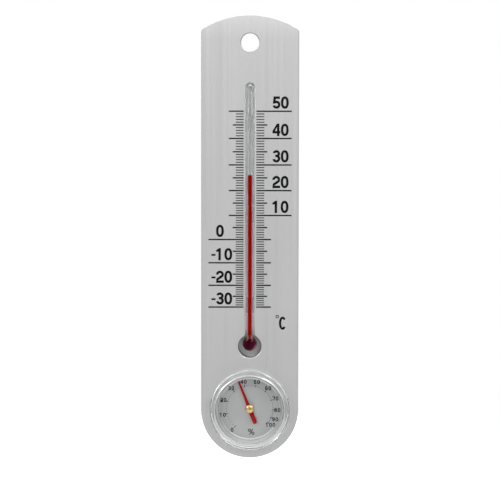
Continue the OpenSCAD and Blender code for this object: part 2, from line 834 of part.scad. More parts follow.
module humidity_coil() {
    count = ceil(coil_turns * coil_steps);
    grow = (coil_r - coil_inner_r) / count;
    function spiral(i, d) =
        let (r = coil_inner_r + grow * i + d, a = 90 - 360 * coil_turns * (1 - i / count))
        [r * cos(a), r * sin(a)];
    color([0.72, 0.62, 0.45]) on_gauge_axis() translate([0, 0, coil_y]) linear_extrude(coil_w)
        polygon(concat([for (i = [0 : count]) spiral(i, coil_t / 2)],
            [for (i = [count : -1 : 0]) spiral(i, -coil_t / 2)]));
}

// A place at the coil's outer end, where its pin stands
module at_stud() {
    on_gauge_axis() translate([0, stud_place, 0]) children();
}

module coil_stud() {
    color([0.8, 0.66, 0.36]) at_stud() translate([0, 0, coil_y])
        cylinder(h = adjuster_back_y - coil_y, r = stud_r);
}

module coil_adjuster() {
    color([0.8, 0.66, 0.36]) difference() {
        union() {
            turned(adjuster_y, adjuster_back_y, adjuster_flange_r);
            turned(adjuster_back_y, boss_back_y, boss_r);
            on_gauge_axis() translate([-arm_w / 2, 0, adjuster_y]) cube([arm_w, arm_end, adjuster_t]);
        }
        turned(adjuster_y - cut, adjuster_back_y, arbor_r + arbor_gap);
        at_stud() translate([0, 0, adjuster_y - cut]) cylinder(h = adjuster_t + 2 * cut, r = stud_r);
        difference() {
            turned(clip_y, clip_y + clip_t, boss_r + cut);
            turned(clip_y - cut, clip_y + clip_t + cut, groove_r);
        }
        translate([-boss_r - cut, boss_back_y - slot_depth, foot_z - slot_w / 2])
            cube([2 * (boss_r + cut), slot_depth + cut, slot_w]);
    }
}

module adjuster_clip() {
    color([0.6, 0.6, 0.62]) difference() {
        turned(clip_y, clip_y + clip_t, clip_r);
        turned(clip_y - cut, clip_y + clip_t + cut, groove_r);
        translate([-groove_r / 2, clip_y - cut, foot_z]) cube([groove_r, clip_t + 2 * cut, clip_r + cut]);
    }
}

module needle_outline() {
    difference() {
        polygon(concat([[-tip_w / 2, needle_length], [tip_w / 2, needle_length], [root_w / 2, 0], [tail_w / 2, 0]],
            arc(0, tail_w / 2 - tail_length, tail_w / 2, tail_w / 2, 0, -180),
            [[-tail_w / 2, 0], [-root_w / 2, 0]]));
        circle(arbor_r);
    }
}

module needle() {
    color([0.62, 0.03, 0.03]) on_front(needle_back_y, needle_t)
        translate([0, foot_z]) rotate(-needle_angle) needle_outline();
}

module needle_cap() {
    r = cap_d / 2;
    dome_h = cap_h - cap_rim;
    dome_r = (r * r + dome_h * dome_h) / (2 * dome_h);
    color([0.85, 0.7, 0.42]) difference() {
        on_gauge_axis() translate([0, 0, cap_y]) rotate_extrude() {
            translate([0, dome_h]) square([r, cap_rim]);
            intersection() {
                translate([0, dome_r]) circle(dome_r);
                square([r, dome_h]);
            }
        }
        turned(cap_y + cap_h - cap_bore, cap_y + cap_h + cut, arbor_r);
    }
}

face_plate();
scale_graduations();
scale_numerals();
unit_mark();
thermometer_tube();
bulb_spirit();
spirit_column();
spirit_meniscus();
tube_adhesive();
hygrometer_case();
case_ring();
crystal();
dial_plate();
dial_graduations();
dial_numerals();
dial_bush();
arbor();
coil_collet();
humidity_coil();
coil_stud();
coil_adjuster();
adjuster_clip();
needle();
needle_cap();
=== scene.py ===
"""Looks of a wall thermometer with a dial hygrometer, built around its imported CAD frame.

Shapes are written in millimetres, in the frame's axes: X to the right, Y towards the wall and
Z up, from the hanging hole. They are turned into metres as they are drawn.
"""

import math

import bpy
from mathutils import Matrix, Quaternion, Vector


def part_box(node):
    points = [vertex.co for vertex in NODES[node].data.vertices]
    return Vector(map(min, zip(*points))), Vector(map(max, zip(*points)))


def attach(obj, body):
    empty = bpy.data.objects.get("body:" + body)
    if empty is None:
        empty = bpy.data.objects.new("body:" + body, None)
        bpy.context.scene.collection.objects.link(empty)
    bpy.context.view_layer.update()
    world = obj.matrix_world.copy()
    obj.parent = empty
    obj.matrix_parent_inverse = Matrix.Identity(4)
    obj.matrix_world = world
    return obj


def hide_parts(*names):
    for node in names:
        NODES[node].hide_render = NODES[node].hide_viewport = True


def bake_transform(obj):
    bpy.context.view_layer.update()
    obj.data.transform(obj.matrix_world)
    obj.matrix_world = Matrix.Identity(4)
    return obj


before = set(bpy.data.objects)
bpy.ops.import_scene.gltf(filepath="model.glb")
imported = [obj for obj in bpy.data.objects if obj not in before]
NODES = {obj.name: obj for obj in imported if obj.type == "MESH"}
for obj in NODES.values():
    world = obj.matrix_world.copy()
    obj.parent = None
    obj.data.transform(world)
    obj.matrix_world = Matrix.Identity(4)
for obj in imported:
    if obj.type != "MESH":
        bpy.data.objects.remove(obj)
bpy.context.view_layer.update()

bl_info = {
    "name": "Wall thermometer with hygrometer",
    "version": (1, 0, 0),
    "blender": (4, 5, 0),
    "location": "View3D > Sidebar > Thermometer",
    "description": "Builds the plate, tube, dial and stage of a wall thermometer",
    "category": "Object",
}

MM = 0.001


def box_mm(node):
    """Lowest and highest corner of a CAD node in millimetres."""
    low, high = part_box(node)
    return low / MM, high / MM


PLATE_HIGH = box_mm("face_plate")[1]
CRYSTAL_LOW, CRYSTAL_HIGH = box_mm("crystal")
TUBE_LOW, TUBE_HIGH = box_mm("thermometer_tube")
COLUMN_LOW, COLUMN_HIGH = box_mm("spirit_column")
MENISCUS_LOW, MENISCUS_HIGH = box_mm("spirit_meniscus")
NEEDLE_LOW, NEEDLE_HIGH = box_mm("needle")

# Sizes and places that the pieces share, in millimetres
GAUGE_Z = (CRYSTAL_LOW.z + CRYSTAL_HIGH.z) / 2
GAUGE_AXIS = (0, 0, GAUGE_Z)
OPENING_R = 20.1
CASE_R = 19.9
DIAL_R = 18.3
DIAL_Y = 3.0
FACE_Y = -1.0
BACK_Y = 0.0
SHEET = BACK_Y - FACE_Y
FOOT_R = PLATE_HIGH.x
CROWN_R = 50.3
CROWN_Z = PLATE_HIGH.z - CROWN_R
CORNER_R = 1.7
HOLE_R = 5.0
TUBE_Y = (TUBE_LOW.y + TUBE_HIGH.y) / 2
TUBE_R = 2.1
TUBE_TOP = TUBE_HIGH.z
BULB_R = (TUBE_HIGH.y - TUBE_LOW.y) / 2
BULB_Z = TUBE_LOW.z + BULB_R
CHANNEL_R = 2.8
CHANNEL_Y = -0.8
CHANNEL_TOP = TUBE_TOP + 1.1 - CHANNEL_R
RECESS_R = BULB_R + 2.5
RECESS_Z = BULB_Z - 1.4
RECESS_FLOOR = TUBE_Y + BULB_R + 0.25
NECK_R = 0.3
BORE_WIDE = 1.4
BORE_DEEP = 0.3
SPIRIT_R = BULB_R - 0.6
NECK_Z = BULB_Z + 4.3

# How far the spirit reaches into the glass, so that no film of air is seen between them
WET = 0.012

# How far the needle stands to the left of straight up, in degrees
SHOWN_TURN = 21.46

# A painted highlight line in the spirit: how strong it is, by the distance from its middle
HIGHLIGHT_LINE = (0.1 * MM, 0.35 * MM, 0.8, 0.0)

# How light the floor is
FLOOR_GREY = 0.58

# Doubles that are closer than this are merged, in metres
DOUBLE = 2e-6


# ---- Drawing by hand ----

def nothing_selected():
    """Leaves edit mode and deselects everything, before a new piece is started."""
    if bpy.context.object and bpy.context.object.mode != "OBJECT":
        bpy.ops.object.mode_set(mode="OBJECT")
    bpy.ops.object.select_all(action="DESELECT")


def only(obj):
    """Makes one object the selected and active one."""
    nothing_selected()
    obj.select_set(True)
    bpy.context.view_layer.objects.active = obj
    return obj


def started(name):
    """Names the primitive that was just added and puts its place into its mesh."""
    obj = bpy.context.object
    obj.name = obj.data.name = name
    bpy.ops.object.transform_apply(location=True, rotation=True, scale=True)
    return obj


def edit(obj):
    """Opens an object in edit mode with everything selected."""
    only(obj)
    bpy.ops.object.mode_set(mode="EDIT")
    bpy.ops.mesh.select_mode(type="VERT")
    bpy.ops.mesh.select_all(action="SELECT")


def pick_edges(obj, test):
    """Selects the edges whose two ends pass a test, by their place in millimetres."""
    only(obj)
    mesh = obj.data
    for items in (mesh.vertices, mesh.edges, mesh.polygons):
        for item in items:
            item.select = False
    for edge in mesh.edges:
        edge.select = all(test(mesh.vertices[i].co / MM) for i in edge.vertices)
    bpy.ops.object.mode_set(mode="EDIT")
    bpy.ops.mesh.select_mode(type="EDGE")


def closed_up(obj):
    """Merges doubles and turns the faces outwards, and goes back to object mode."""
    edit(obj)
    bpy.ops.mesh.remove_doubles(threshold=DOUBLE)
    bpy.ops.mesh.normals_make_consistent(inside=False)
    bpy.ops.object.mode_set(mode="OBJECT")
    return obj


def pen_line(name, points):
    """A line of extruded points, all selected; a small plane is collapsed to the first one."""
    nothing_selected()
    points = [Vector(point) * MM for point in points]
    bpy.ops.mesh.primitive_plane_add(size=MM, location=points[0])
    obj = started(name)
    edit(obj)
    bpy.ops.mesh.merge(type="CENTER")
    for here, there in zip(points, points[1:]):
        bpy.ops.mesh.extrude_vertices_move(TRANSFORM_OT_translate={"value": there - here})
    bpy.ops.mesh.select_all(action="SELECT")
    return obj


def extruded(x, y, z):
    """Extrudes what is selected, by a distance in millimetres along each axis."""
    bpy.ops.mesh.extrude_region_move(TRANSFORM_OT_translate={"value": (x * MM, y * MM, z * MM)})


def arc(cx, cy, r, a0, a1, steps):
    """Points along an arc between two angles in degrees."""
    turns = [math.radians(a0 + (a1 - a0) * i / steps) for i in range(steps + 1)]
    return [(cx + r * math.cos(a), cy + r * math.sin(a)) for a in turns]


def rounded(corners, steps=4, closed=False):
    """Points of a line or ring through corners of (x, y, radius), rounded by their radii."""
    points = []
    count = len(corners)
    for i, (x, y, r) in enumerate(corners):
        if r == 0 or (not closed and i in (0, count - 1)):
            points.append((x, y))
            continue
        here = Vector((x, y))
        to_last = (Vector(corners[i - 1][:2]) - here).normalized()
        to_next = (Vector(corners[(i + 1) % count][:2]) - here).normalized()
        half = to_last.angle(to_next) / 2
        centre = here + (to_last + to_next).normalized() * r / math.sin(half)
        first = here + to_last * r / math.tan(half) - centre
        last = here + to_next * r / math.tan(half) - centre
        a0 = math.degrees(math.atan2(first.y, first.x))
        a1 = math.degrees(math.atan2(last.y, last.x))
        points += arc(centre.x, centre.y, r, a0, a0 + (a1 - a0 + 180) % 360 - 180, steps)
    return points + points[:1] if closed else points


def lathe(name, profile, centre, axis="Y", steps=96):
    """A turned piece from points of (radius, place along the axis)."""
    if axis == "Y":
        points = [(centre[0] + r, centre[1] + y, centre[2]) for r, y in profile]
    else:
        points = [(centre[0] + r, centre[1], centre[2] + z) for r, z in profile]
    obj = pen_line(name, points)
    bpy.ops.mesh.spin(steps=steps, angle=math.tau, center=Vector(centre) * MM,
                      axis=(0, 1, 0) if axis == "Y" else (0, 0, 1))
    return closed_up(obj)


def plate_of(name, outline, y0, y1):
    """A flat piece with an outline of (x, z) between two depths."""
    obj = pen_line(name, [(x, y1, z) for x, z in outline])
    bpy.ops.mesh.edge_face_add()
    extruded(0, y0 - y1, 0)
    return closed_up(obj)


def round_form(name, profile, z_top, z_low):
    """A long form with a round upper end, from half of its section as (side, depth) points."""
    obj = pen_line(name, [(r, y, z_top) for r, y in profile])
    bpy.ops.mesh.spin(steps=40, angle=math.pi, center=(0, 0, z_top * MM), axis=(0, 1, 0))
    closed_up(obj)
    highest = max(vertex.co.z for vertex in obj.data.vertices) / MM
    if highest < z_top + 1:
        raise RuntimeError(f"{name} was spun downwards")
    pick_edges(obj, lambda point: abs(point.z - z_top) < 1e-3)
    extruded(0, 0, z_low - z_top)
    bpy.ops.mesh.edge_face_add()
    return closed_up(obj)


def modified(obj, kind, **values):
    """Gives an object a modifier with these values, and applies it."""
    only(obj)
    bpy.ops.object.modifier_add(type=kind)
    modifier = obj.modifiers[-1]
    for key, value in values.items():
        setattr(modifier, key, value)
    bpy.ops.object.modifier_apply(modifier=modifier.name)
    return obj


def combine(obj, tool, operation):
    """Joins another closed form to an object, or cuts it away, and removes that form."""
    modified(obj, "BOOLEAN", operation=operation, solver="EXACT", object=tool)
    bpy.data.objects.remove(tool)


def edges_rounded(obj, width):
    """Rounds every edge that is sharper than 40 degrees."""
    return modified(obj, "BEVEL", width=width * MM, segments=2, limit_method="ANGLE",
                    angle_limit=math.radians(40))


def smooth(obj, angle=35, weighted=False):
    """Smooth shading that keeps sharp edges; weighted keeps wide faces flat."""
    only(obj)
    bpy.ops.object.shade_smooth_by_angle(angle=math.radians(angle))
    if weighted:
        modified(obj, "WEIGHTED_NORMAL", keep_sharp=True)
    return obj


def copy_of_node(name, node):
    """A copy of a CAD node with its loose triangles merged into wide faces."""
    source = NODES[node]
    obj = bpy.data.objects.new(name, source.data.copy())
    obj.data.name = name
    obj.data.materials.clear()
    bpy.context.scene.collection.objects.link(obj)
    edit(obj)
    bpy.ops.mesh.customdata_custom_splitnormals_clear()
    bpy.ops.mesh.remove_doubles(threshold=DOUBLE)
    bpy.ops.mesh.dissolve_limited(angle_limit=math.radians(0.5))
    bpy.ops.object.mode_set(mode="OBJECT")
    return obj


def placed(obj, body, slot, material, *nodes):
    """Gives a finished piece its material and body, and hides the CAD nodes that it stands for; its
    slot is not used.
    """
    obj.data.materials.clear()
    obj.data.materials.append(material)
    if nodes:
        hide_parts(*nodes)
    if body:
        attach(obj, body)


# ---- Node groups and materials ----

def new_group(name, outputs, **inputs):
    """An empty shader node group: a number's default value is given, a vector's is None."""
    tree = bpy.data.node_groups.new(name, "ShaderNodeTree")
    for label, value in inputs.items():
        kind = "NodeSocketVector" if value is None else "NodeSocketFloat"
        socket = tree.interface.new_socket(name=label, in_out="INPUT", socket_type=kind)
        if value is not None:
            socket.default_value = value
    for label in outputs:
        tree.interface.new_socket(name=label, in_out="OUTPUT", socket_type="NodeSocketFloat")
    given, put = tree.nodes.new("NodeGroupInput"), tree.nodes.new("NodeGroupOutput")
    return given.outputs, put.inputs


def tree_of(*values):
    """The node tree that the first linked value belongs to."""
    return next(value.id_data for value in values if isinstance(value, bpy.types.NodeSocket))


def connect(value, socket):
    """Gives an input a link, or a value of its own."""
    if isinstance(value, bpy.types.NodeSocket):
        socket.id_data.links.new(value, socket)
    else:
        socket.default_value = value


def filled(made, **values):
    """A node with its inputs given, by name, or by i and their number."""
    for key, value in values.items():
        slot = int(key[1:]) if key[0] == "i" and key[1:].isdigit() else key.replace("_", " ")
        connect(value, made.inputs[slot])
    return made


def node(kind, operation=None, **values):
    """A new node with its inputs given."""
    made = tree_of(*values.values()).nodes.new(kind)
    if operation:
        made.operation = operation
    return filled(made, **values)


def math_node(operation, a, b=0.0):
    """What a math node makes of one or two values."""
    return node("ShaderNodeMath", operation, i0=a, i1=b).outputs[0]


def times(first, *others):
    """The product of several values."""
    for other in others:
        first = math_node("MULTIPLY", first, other)
    return first


def plus(a, b):
    """The sum of two values."""
    return math_node("ADD", a, b)


def minus(a, b):
    """The first value less the second."""
    return math_node("SUBTRACT", a, b)


def absolute(a):
    """A value without its sign."""
    return math_node("ABSOLUTE", a)


def parts(vector):
    """A vector's three parts."""
    return node("ShaderNodeSeparateXYZ", Vector=vector).outputs


def noise_in(vector, scale, detail, roughness=0.5):
    """Cloudy noise between 0 and 1."""
    return node("ShaderNodeTexNoise", Vector=vector, Scale=scale, Detail=detail,
                Roughness=roughness).outputs[0]


def ranged(value, a, b, c=0.0, d=1.0):
    """A value mapped from one range to another, and kept in it."""
    return node("ShaderNodeMapRange", Value=value, From_Min=a, From_Max=b,
                To_Min=c, To_Max=d).outputs[0]


def over_mm(value, a, b, c=0.0, d=1.0):
    """The same, with the limits of the value in millimetres."""
    return ranged(value, a * MM, b * MM, c, d)


def mixed(factor, a, b, blend="MIX"):
    """Two colours laid over each other by a factor."""
    made = tree_of(factor, a, b).nodes.new("ShaderNodeMix")
    made.data_type = "RGBA"
    made.blend_type = blend
    return filled(made, i0=factor, i6=a, i7=b).outputs[2]


def stretched(vector, across, depth, along):
    """Coordinates scaled differently along each axis."""
    scale = node("ShaderNodeCombineXYZ", X=across, Y=depth, Z=along)
    return node("ShaderNodeVectorMath", "MULTIPLY", i0=vector, i1=scale.outputs[0]).outputs[0]


def grain_group():
    """Straight grain, drawn out along Z: fine and coarse streaks as a shade and a height."""
    given, put = new_group(
        "Straight grain", ("Shade", "Height"), Vector=None, Across=9000.0, Along=60.0, Coarse=0.35)
    across, along = given["Across"], given["Along"]
    fine = noise_in(stretched(given["Vector"], across, across, along), 1.0, 3.0, 0.6)
    slower = times(across, 0.13)
    longer = times(along, 0.12)
    broad = noise_in(stretched(given["Vector"], slower, slower, longer), 1.0, 2.0)
    shade = node("ShaderNodeMix", i0=given["Coarse"], i2=fine, i3=broad)
    connect(shade.outputs[0], put["Shade"])
    connect(fine, put["Height"])


def turning_group():
    """Fine rings of a turned or moulded face about an axis along Y, as a shade and a height."""
    given, put = new_group("Turning marks", ("Shade", "Height"), Vector=None, Rings=4000.0)
    x, y, z = parts(given["Vector"])
    wound = node("ShaderNodeCombineXYZ", X=times(flat_length(x, z), given["Rings"]),
                 Y=math_node("ARCTAN2", z, x), Z=times(y, given["Rings"]))
    noise = noise_in(wound.outputs[0], 1.0, 3.0, 0.6)
    connect(noise, put["Shade"])
    connect(noise, put["Height"])


def wear_group():
    """Where outer edges are rubbed, from a mesh's pointiness."""
    given, put = new_group("Edge wear", ("Mask",), Pointiness=0.5, Vector=None, Start=0.51, End=0.6)
    patches = noise_in(given["Vector"], 400.0, 3.0)
    edge = ranged(given["Pointiness"], given["Start"], given["End"])
    mask = times(edge, ranged(patches, 0.3, 0.6, 0.4, 1.0))
    connect(mask, put["Mask"])


def dust_group():
    """Small specks and faint cloudy patches of dust, as a mask."""
    given, put = new_group("Dust", ("Mask",), Vector=None, Specks=2500.0, Amount=0.5, Veil=0.2)
    specks = noise_in(given["Vector"], given["Specks"], 2.0)
    clouds = noise_in(given["Vector"], 60.0, 3.0)
    dots = ranged(specks, 0.66, 0.74)
    veil = times(ranged(clouds, 0.45, 0.75), given["Veil"])
    both = math_node("MAXIMUM", dots, veil)
    connect(times(both, given["Amount"]), put["Mask"])


def group(name, **values):
    """A shader node group placed in a material."""
    made = tree_of(*values.values()).nodes.new("ShaderNodeGroup")
    made.node_tree = bpy.data.node_groups[name]
    return filled(made, **values)


def grey(value):
    """A grey as a colour with its alpha."""
    return (value, value, value, 1.0)


def shaded(colour, share, lift=0.0):
    """A colour made darker or lighter."""
    return tuple(min(1.0, value * share + lift) for value in colour[:3]) + (1.0,)


def new_material(name, colour, **values):
    """A material with its shader, object coordinates and a first colour."""
    material = bpy.data.materials.new(name)
    material.use_nodes = True
    tree = material.node_tree
    shader = filled(tree.nodes["Principled BSDF"], Base_Color=shaded(colour, 1.0), **values)
    where = tree.nodes.new("ShaderNodeTexCoord").outputs["Object"]
    return material, shader, where


def about_gauge(where):
    """Object coordinates counted from the middle of the dial."""
    return node("ShaderNodeMapping", Vector=where, Location=(0, 0, -GAUGE_Z * MM)).outputs[0]


def bumped(shader, height, strength, distance):
    """Small relief; the distance is in millimetres."""
    bump = node("ShaderNodeBump", Strength=strength, Distance=distance * MM, Height=height)
    filled(shader, Normal=bump.outputs[0])


def pointiness(where):
    """How sharply a mesh is bent outwards, at its points."""
    return where.id_data.nodes.new("ShaderNodeNewGeometry").outputs["Pointiness"]


def flat_length(across, up):
    """Distance from an axis along Y, from the two offsets square to it."""
    flat = node("ShaderNodeCombineXYZ", X=across, Y=up)
    return node("ShaderNodeVectorMath", "LENGTH", i0=flat.outputs[0]).outputs["Value"]


def facing_back(where):
    """How far a surface faces the back, in the object's own coordinates: -1 is the front."""
    normal = where.id_data.nodes.new("ShaderNodeTexCoord").outputs["Normal"]
    return parts(normal)[1]


def plate_painted_light(where, front):
    """Painted light and shade on the plate's sheet: even, with a painted gradient from foot to top,
    painted shade in its recesses and on its bent rims, and painted light in the channel.
    """
    x, depth, height = parts(where)
    # Painted light and shade: darker towards the foot, lighter above the hanging hole, and a little
    # darker behind
    painted_light = plus(ranged(height, -0.235, -0.145, 0.81, 1.0), ranged(height, 0.002, 0.014, 0.0, 0.15))
    painted_light = times(painted_light, over_mm(depth, 2.4, 4.4, 1.0, 0.95))
    # Painted shade on the rounded edge of the foot
    below = math_node("MINIMUM", minus(height, GAUGE_Z * MM), 0.0)
    rim_shade = over_mm(flat_length(x, below), FOOT_R - 0.7, FOOT_R - 0.3, 1.0, 0.82)
    # Painted shade on the lip of the hanging hole
    hole_shade = over_mm(flat_length(x, height), HOLE_R + 0.45, HOLE_R + 0.7, 0.6, 1.0)
    # Painted shade in the bulb's recess, with a painted crescent of shade at its lower right
    recess_z = minus(height, RECESS_Z * MM)
    from_recess = flat_length(x, recess_z)
    low = minus(times(x, 0.5), recess_z)
    crescent = times(over_mm(from_recess, 4.4, 6.0, 0.0, 0.15), over_mm(low, -1.0, 3.5, 0.2, 1.0),
                     times(front, over_mm(depth, 1.0, 2.0)))
    recess_shade = minus(over_mm(from_recess, RECESS_R + 0.45, RECESS_R + 0.6, 0.88, 1.0), crescent)
    # The channel behind the tube, with painted light above the bulb
    pressed = times(over_mm(depth, -0.8, 0.2, 0.0, 0.36),
                    over_mm(height, BULB_Z + 4, BULB_Z + 9), front)
    return times(painted_light, rim_shade, hole_shade, recess_shade, plus(pressed, 1.0))


def plate_material(name, looks):
    """Aluminium sheet, brushed upwards, with faint broad streaks, dust, rubbed bends, and painted
    light and shade.
    """
    material, shader, where = new_material(
        name, looks.colour, Metallic=0.88, Roughness=looks.roughness)
    grain = group("Straight grain", Vector=where, Across=5200.0, Along=40.0, Coarse=0.7)
    dust = group("Dust", Vector=where, Specks=2600.0, Amount=0.10, Veil=0.0)
    wear = group("Edge wear", Pointiness=pointiness(where), Vector=where, Start=0.52, End=0.62)
    facing = facing_back(where)
    front = ranged(facing, -0.1, 0.1, 1.0, 0.0)
    bent = ranged(absolute(facing), 0.97, 0.995, 1.0, 0.0)
    shade = ranged(grain.outputs["Shade"], 0.3, 0.7)
    colour = mixed(shade, shaded(looks.colour, 0.95), shaded(looks.colour, 1.02))
    colour = mixed(dust.outputs["Mask"], colour, (0.50, 0.49, 0.47, 1.0))
    colour = mixed(times(wear.outputs["Mask"], bent), colour, grey(0.86))
    # Painted light and shade of the sheet, multiplied into its colour
    painted_light = plate_painted_light(where, front)
    level = node("ShaderNodeCombineColor", i0=painted_light, i1=painted_light, i2=painted_light).outputs[0]
    colour = mixed(1.0, colour, level, "MULTIPLY")
    rough = ranged(grain.outputs["Shade"], 0.3, 0.7, looks.roughness + 0.03, looks.roughness - 0.03)
    filled(shader, Base_Color=colour, Roughness=rough)
    bumped(shader, grain.outputs["Height"], 0.15, 0.02)
    return material


def ink_material(name, colour, roughness):
    """Screen printed ink: slightly uneven, with a soft sheen."""
    material, shader, where = new_material(name, colour, Roughness=roughness,
                                           Specular_IOR_Level=0.08)
    noise = noise_in(where, 2200.0, 4.0)
    thin = ranged(noise, 0.5, 0.75, 0.0, 0.35)
    filled(shader, Base_Color=mixed(thin, shaded(colour, 1.0), shaded(colour, 2.4, 0.004)),
           Roughness=ranged(noise, 0.3, 0.7, roughness - 0.08, roughness + 0.1))
    bumped(shader, noise, 0.15, 0.01)
    return material


def glass_material(name, tint, ior, roughness, ripple, mirror, clear=1.0):
    """Clear glass or plastic with a very slight ripple."""
    material, shader, where = new_material(
        name, tint, Roughness=roughness, IOR=ior, Transmission_Weight=clear,
        Specular_Tint=grey(mirror))
    wave = noise_in(where, ripple, 2.0)
    bumped(shader, wave, 0.02, 0.05)
    return material


def neck_and_rim(where, colour, neck):
    """The bulb's colour with lighter spirit in its neck, and painted highlights as pale lines where
    the glass bends.
    """
    x, _, rise = parts(where)
    out = absolute(x)
    above = times(over_mm(rise, BULB_Z + 2.2, BULB_Z + 4.0), over_mm(out, 0.8, 1.3, 1.0, 0.0))
    colour = mixed(above, colour, shaded(neck, 1.0))
    # A painted highlight down each side of the funnel, which leans by half a millimetre for each
    # one of height
    flank_highlight = plus(out, times(rise, 0.5))
    flank_highlight = minus(flank_highlight, (0.45 + 0.5 * NECK_Z) * MM)
    flank_highlight = times(ranged(absolute(flank_highlight), *HIGHLIGHT_LINE),
                  over_mm(rise, BULB_Z + 1.7, BULB_Z + 2.6), over_mm(out, 0.3, 0.5))
    # A painted highlight around the lower right of the ball
    rim_x = minus(x, -0.1 * MM)
    rim_z = minus(rise, BULB_Z * MM)
    low_right = minus(times(rim_x, 0.75), times(rim_z, 0.66))
    rim = minus(flat_length(rim_x, rim_z), 3.1 * MM)
    rim = times(ranged(absolute(rim), *HIGHLIGHT_LINE), over_mm(low_right, 2.3, 2.9))
    return mixed(math_node("MAXIMUM", flank_highlight, rim), colour, (0.55, 0.25, 0.23, 1.0))


def spirit_material(name, left, right, spread, neck=None):
    """Dyed spirit: cloudy, or with a painted reflection as another colour at its lower right,
    spread over a width.
    """
    material, shader, where = new_material(name, left, Roughness=0.3, IOR=1.36,
                                           Specular_IOR_Level=0.0)
    cloud = noise_in(where, 450.0, 2.0)
    if spread:
        # The second colour towards the lower right is a painted reflection
        x, _, rise = parts(where)
        side = minus(x, rise)
        middle = (0.6 - BULB_Z) * MM
        place = ranged(side, middle - spread * MM, middle + spread * MM)
        place = plus(place, ranged(cloud, 0.3, 0.7, -0.12, 0.12))
    else:
        place = ranged(cloud, 0.3, 0.7)
    colour = mixed(place, shaded(left, 1.0), shaded(right, 1.0))
    if neck:
        colour = neck_and_rim(where, colour, neck)
    filled(shader, Base_Color=colour)
    return material


def silver_material(name, looks):
    """Silvered plastic: smooth, with faint moulding rings, dust, and painted light and shade around
    the dial.
    """
    material, shader, where = new_material(name, looks.silver, Metallic=0.1, Roughness=0.34)
    centred = about_gauge(where)
    rings = group("Turning marks", Vector=centred, Rings=2600.0)
    dust = group("Dust", Vector=where, Specks=3000.0, Amount=0.22)
    shade = ranged(rings.outputs["Shade"], 0.3, 0.7)
    colour = mixed(shade, shaded(looks.silver, 0.97), shaded(looks.silver, 1.0))
    colour = mixed(dust.outputs["Mask"], colour, grey(0.42))
    x, depth, z = parts(centred)
    radius = flat_length(x, z)
    turn = math_node("ARCTAN2", x, z)
    cosine = math_node("COSINE", turn)
    # Painted shade, darker to the left and right of the dial
    beside = math_node("POWER", absolute(math_node("SINE", turn)), 4.0)
    colour = mixed(times(beside, 0.7), colour, grey(0.35))
    # Painted light on the steep wall around the dial, and a painted highlight on a stretch of it
    # below
    wall = times(over_mm(radius, 18.95, 19.1, 0.9, 0.0), over_mm(depth, 2.3, 2.5, 1.0, 0.0))
    colour = mixed(wall, colour, grey(0.74))
    under = times(ranged(cosine, -0.95, -0.70, 0.6, 0.0), over_mm(depth, 0.5, 2.0, 1.0, 0.0))
    colour = mixed(under, colour, grey(0.95))
    # The lip on the dial: a painted highlight at its edge, with painted shade in a groove outside
    # it
    seat = times(over_mm(depth, 2.2, 2.35), over_mm(depth, 3.05, 3.2, 1.0, 0.0))
    upright = ranged(absolute(cosine), 0.4, 0.9, 0.25, 1.0)
    lip = times(over_mm(radius, DIAL_R - 0.1, DIAL_R, 1.0, 0.0), upright)
    colour = mixed(times(seat, lip), colour, grey(1.0))
    groove = over_mm(radius, DIAL_R, DIAL_R + 0.06, 0.0, 0.7)
    colour = mixed(times(seat, groove), colour, grey(0.25))
    # Painted shade in the mouth, under the crystal
    mouth = times(over_mm(radius, 19.1, 19.3, 0.0, 0.75), over_mm(radius, 19.85, 20.0, 1.0, 0.0),
                  over_mm(depth, -2.6, -2.4, 1.0, 0.0))
    colour = mixed(mouth, colour, grey(0.25))
    filled(shader, Base_Color=colour,
           Roughness=ranged(rings.outputs["Shade"], 0.3, 0.7, 0.38, 0.30))
    bumped(shader, rings.outputs["Height"], 0.01, 0.01)
    return material


def dial_material(name, looks):
    """Grey satin paint, finely grained, with a painted highlight as a bright line near the dial's
    rim.
    """
    material, shader, where = new_material(name, looks.dial, Roughness=0.5, Specular_IOR_Level=0.25)
    grain = noise_in(where, 5200.0, 3.0)
    broad = noise_in(where, 55.0, 2.0)
    both = plus(times(grain, 0.5), times(broad, 0.5))
    colour = mixed(ranged(both, 0.38, 0.62), shaded(looks.dial, 0.93), shaded(looks.dial, 1.07))
    x, _, z = parts(about_gauge(where))
    radius = flat_length(x, z)
    # A painted highlight: a bright ring just inside the rim, strongest at its top and bottom
    upright = math_node("DIVIDE", absolute(z), radius)
    rim = absolute(minus(radius, (DIAL_R - 0.6) * MM))
    rim = times(over_mm(rim, 0.14, 0.32, 1.0, 0.0), ranged(upright, 0.4, 0.9, 0.25, 1.0))
    filled(shader, Base_Color=mixed(rim, colour, grey(0.90)),
           Roughness=ranged(grain, 0.3, 0.7, 0.44, 0.56))
    bumped(shader, grain, 0.2, 0.01)
    return material


def turned_metal(name, colour, roughness, rings, tarnish):
    """Metal turned on a lathe: rings about the dial's axis, and tarnish in patches."""
    material, shader, where = new_material(name, colour, Metallic=1.0, Roughness=roughness)
    centred = about_gauge(where)
    marks = group("Turning marks", Vector=centred, Rings=rings)
    patches = noise_in(where, 700.0, 3.0)
    shade = ranged(marks.outputs["Shade"], 0.3, 0.7)
    base = mixed(shade, shaded(colour, 0.86), shaded(colour, 1.0))
    stain = ranged(patches, 0.5, 0.75, 0.0, tarnish)
    base = mixed(stain, base, shaded(colour, 0.55))
    rough = ranged(marks.outputs["Shade"], 0.3, 0.7, roughness + 0.06, roughness - 0.04)
    filled(shader, Base_Color=base, Roughness=rough)
    bumped(shader, marks.outputs["Height"], 0.12, 0.01)
    return material


def strip_material(name):
    """The coil's strip: a coated bronze ribbon with an uneven film."""
    material, shader, where = new_material(name, (0.45, 0.34, 0.19), Metallic=0.6, Roughness=0.4)
    film = noise_in(where, 900.0, 4.0)
    place = ranged(film, 0.35, 0.65)
    filled(shader, Base_Color=mixed(place, (0.50, 0.37, 0.20, 1), (0.33, 0.25, 0.15, 1)))
    bumped(shader, film, 0.1, 0.02)
    return material


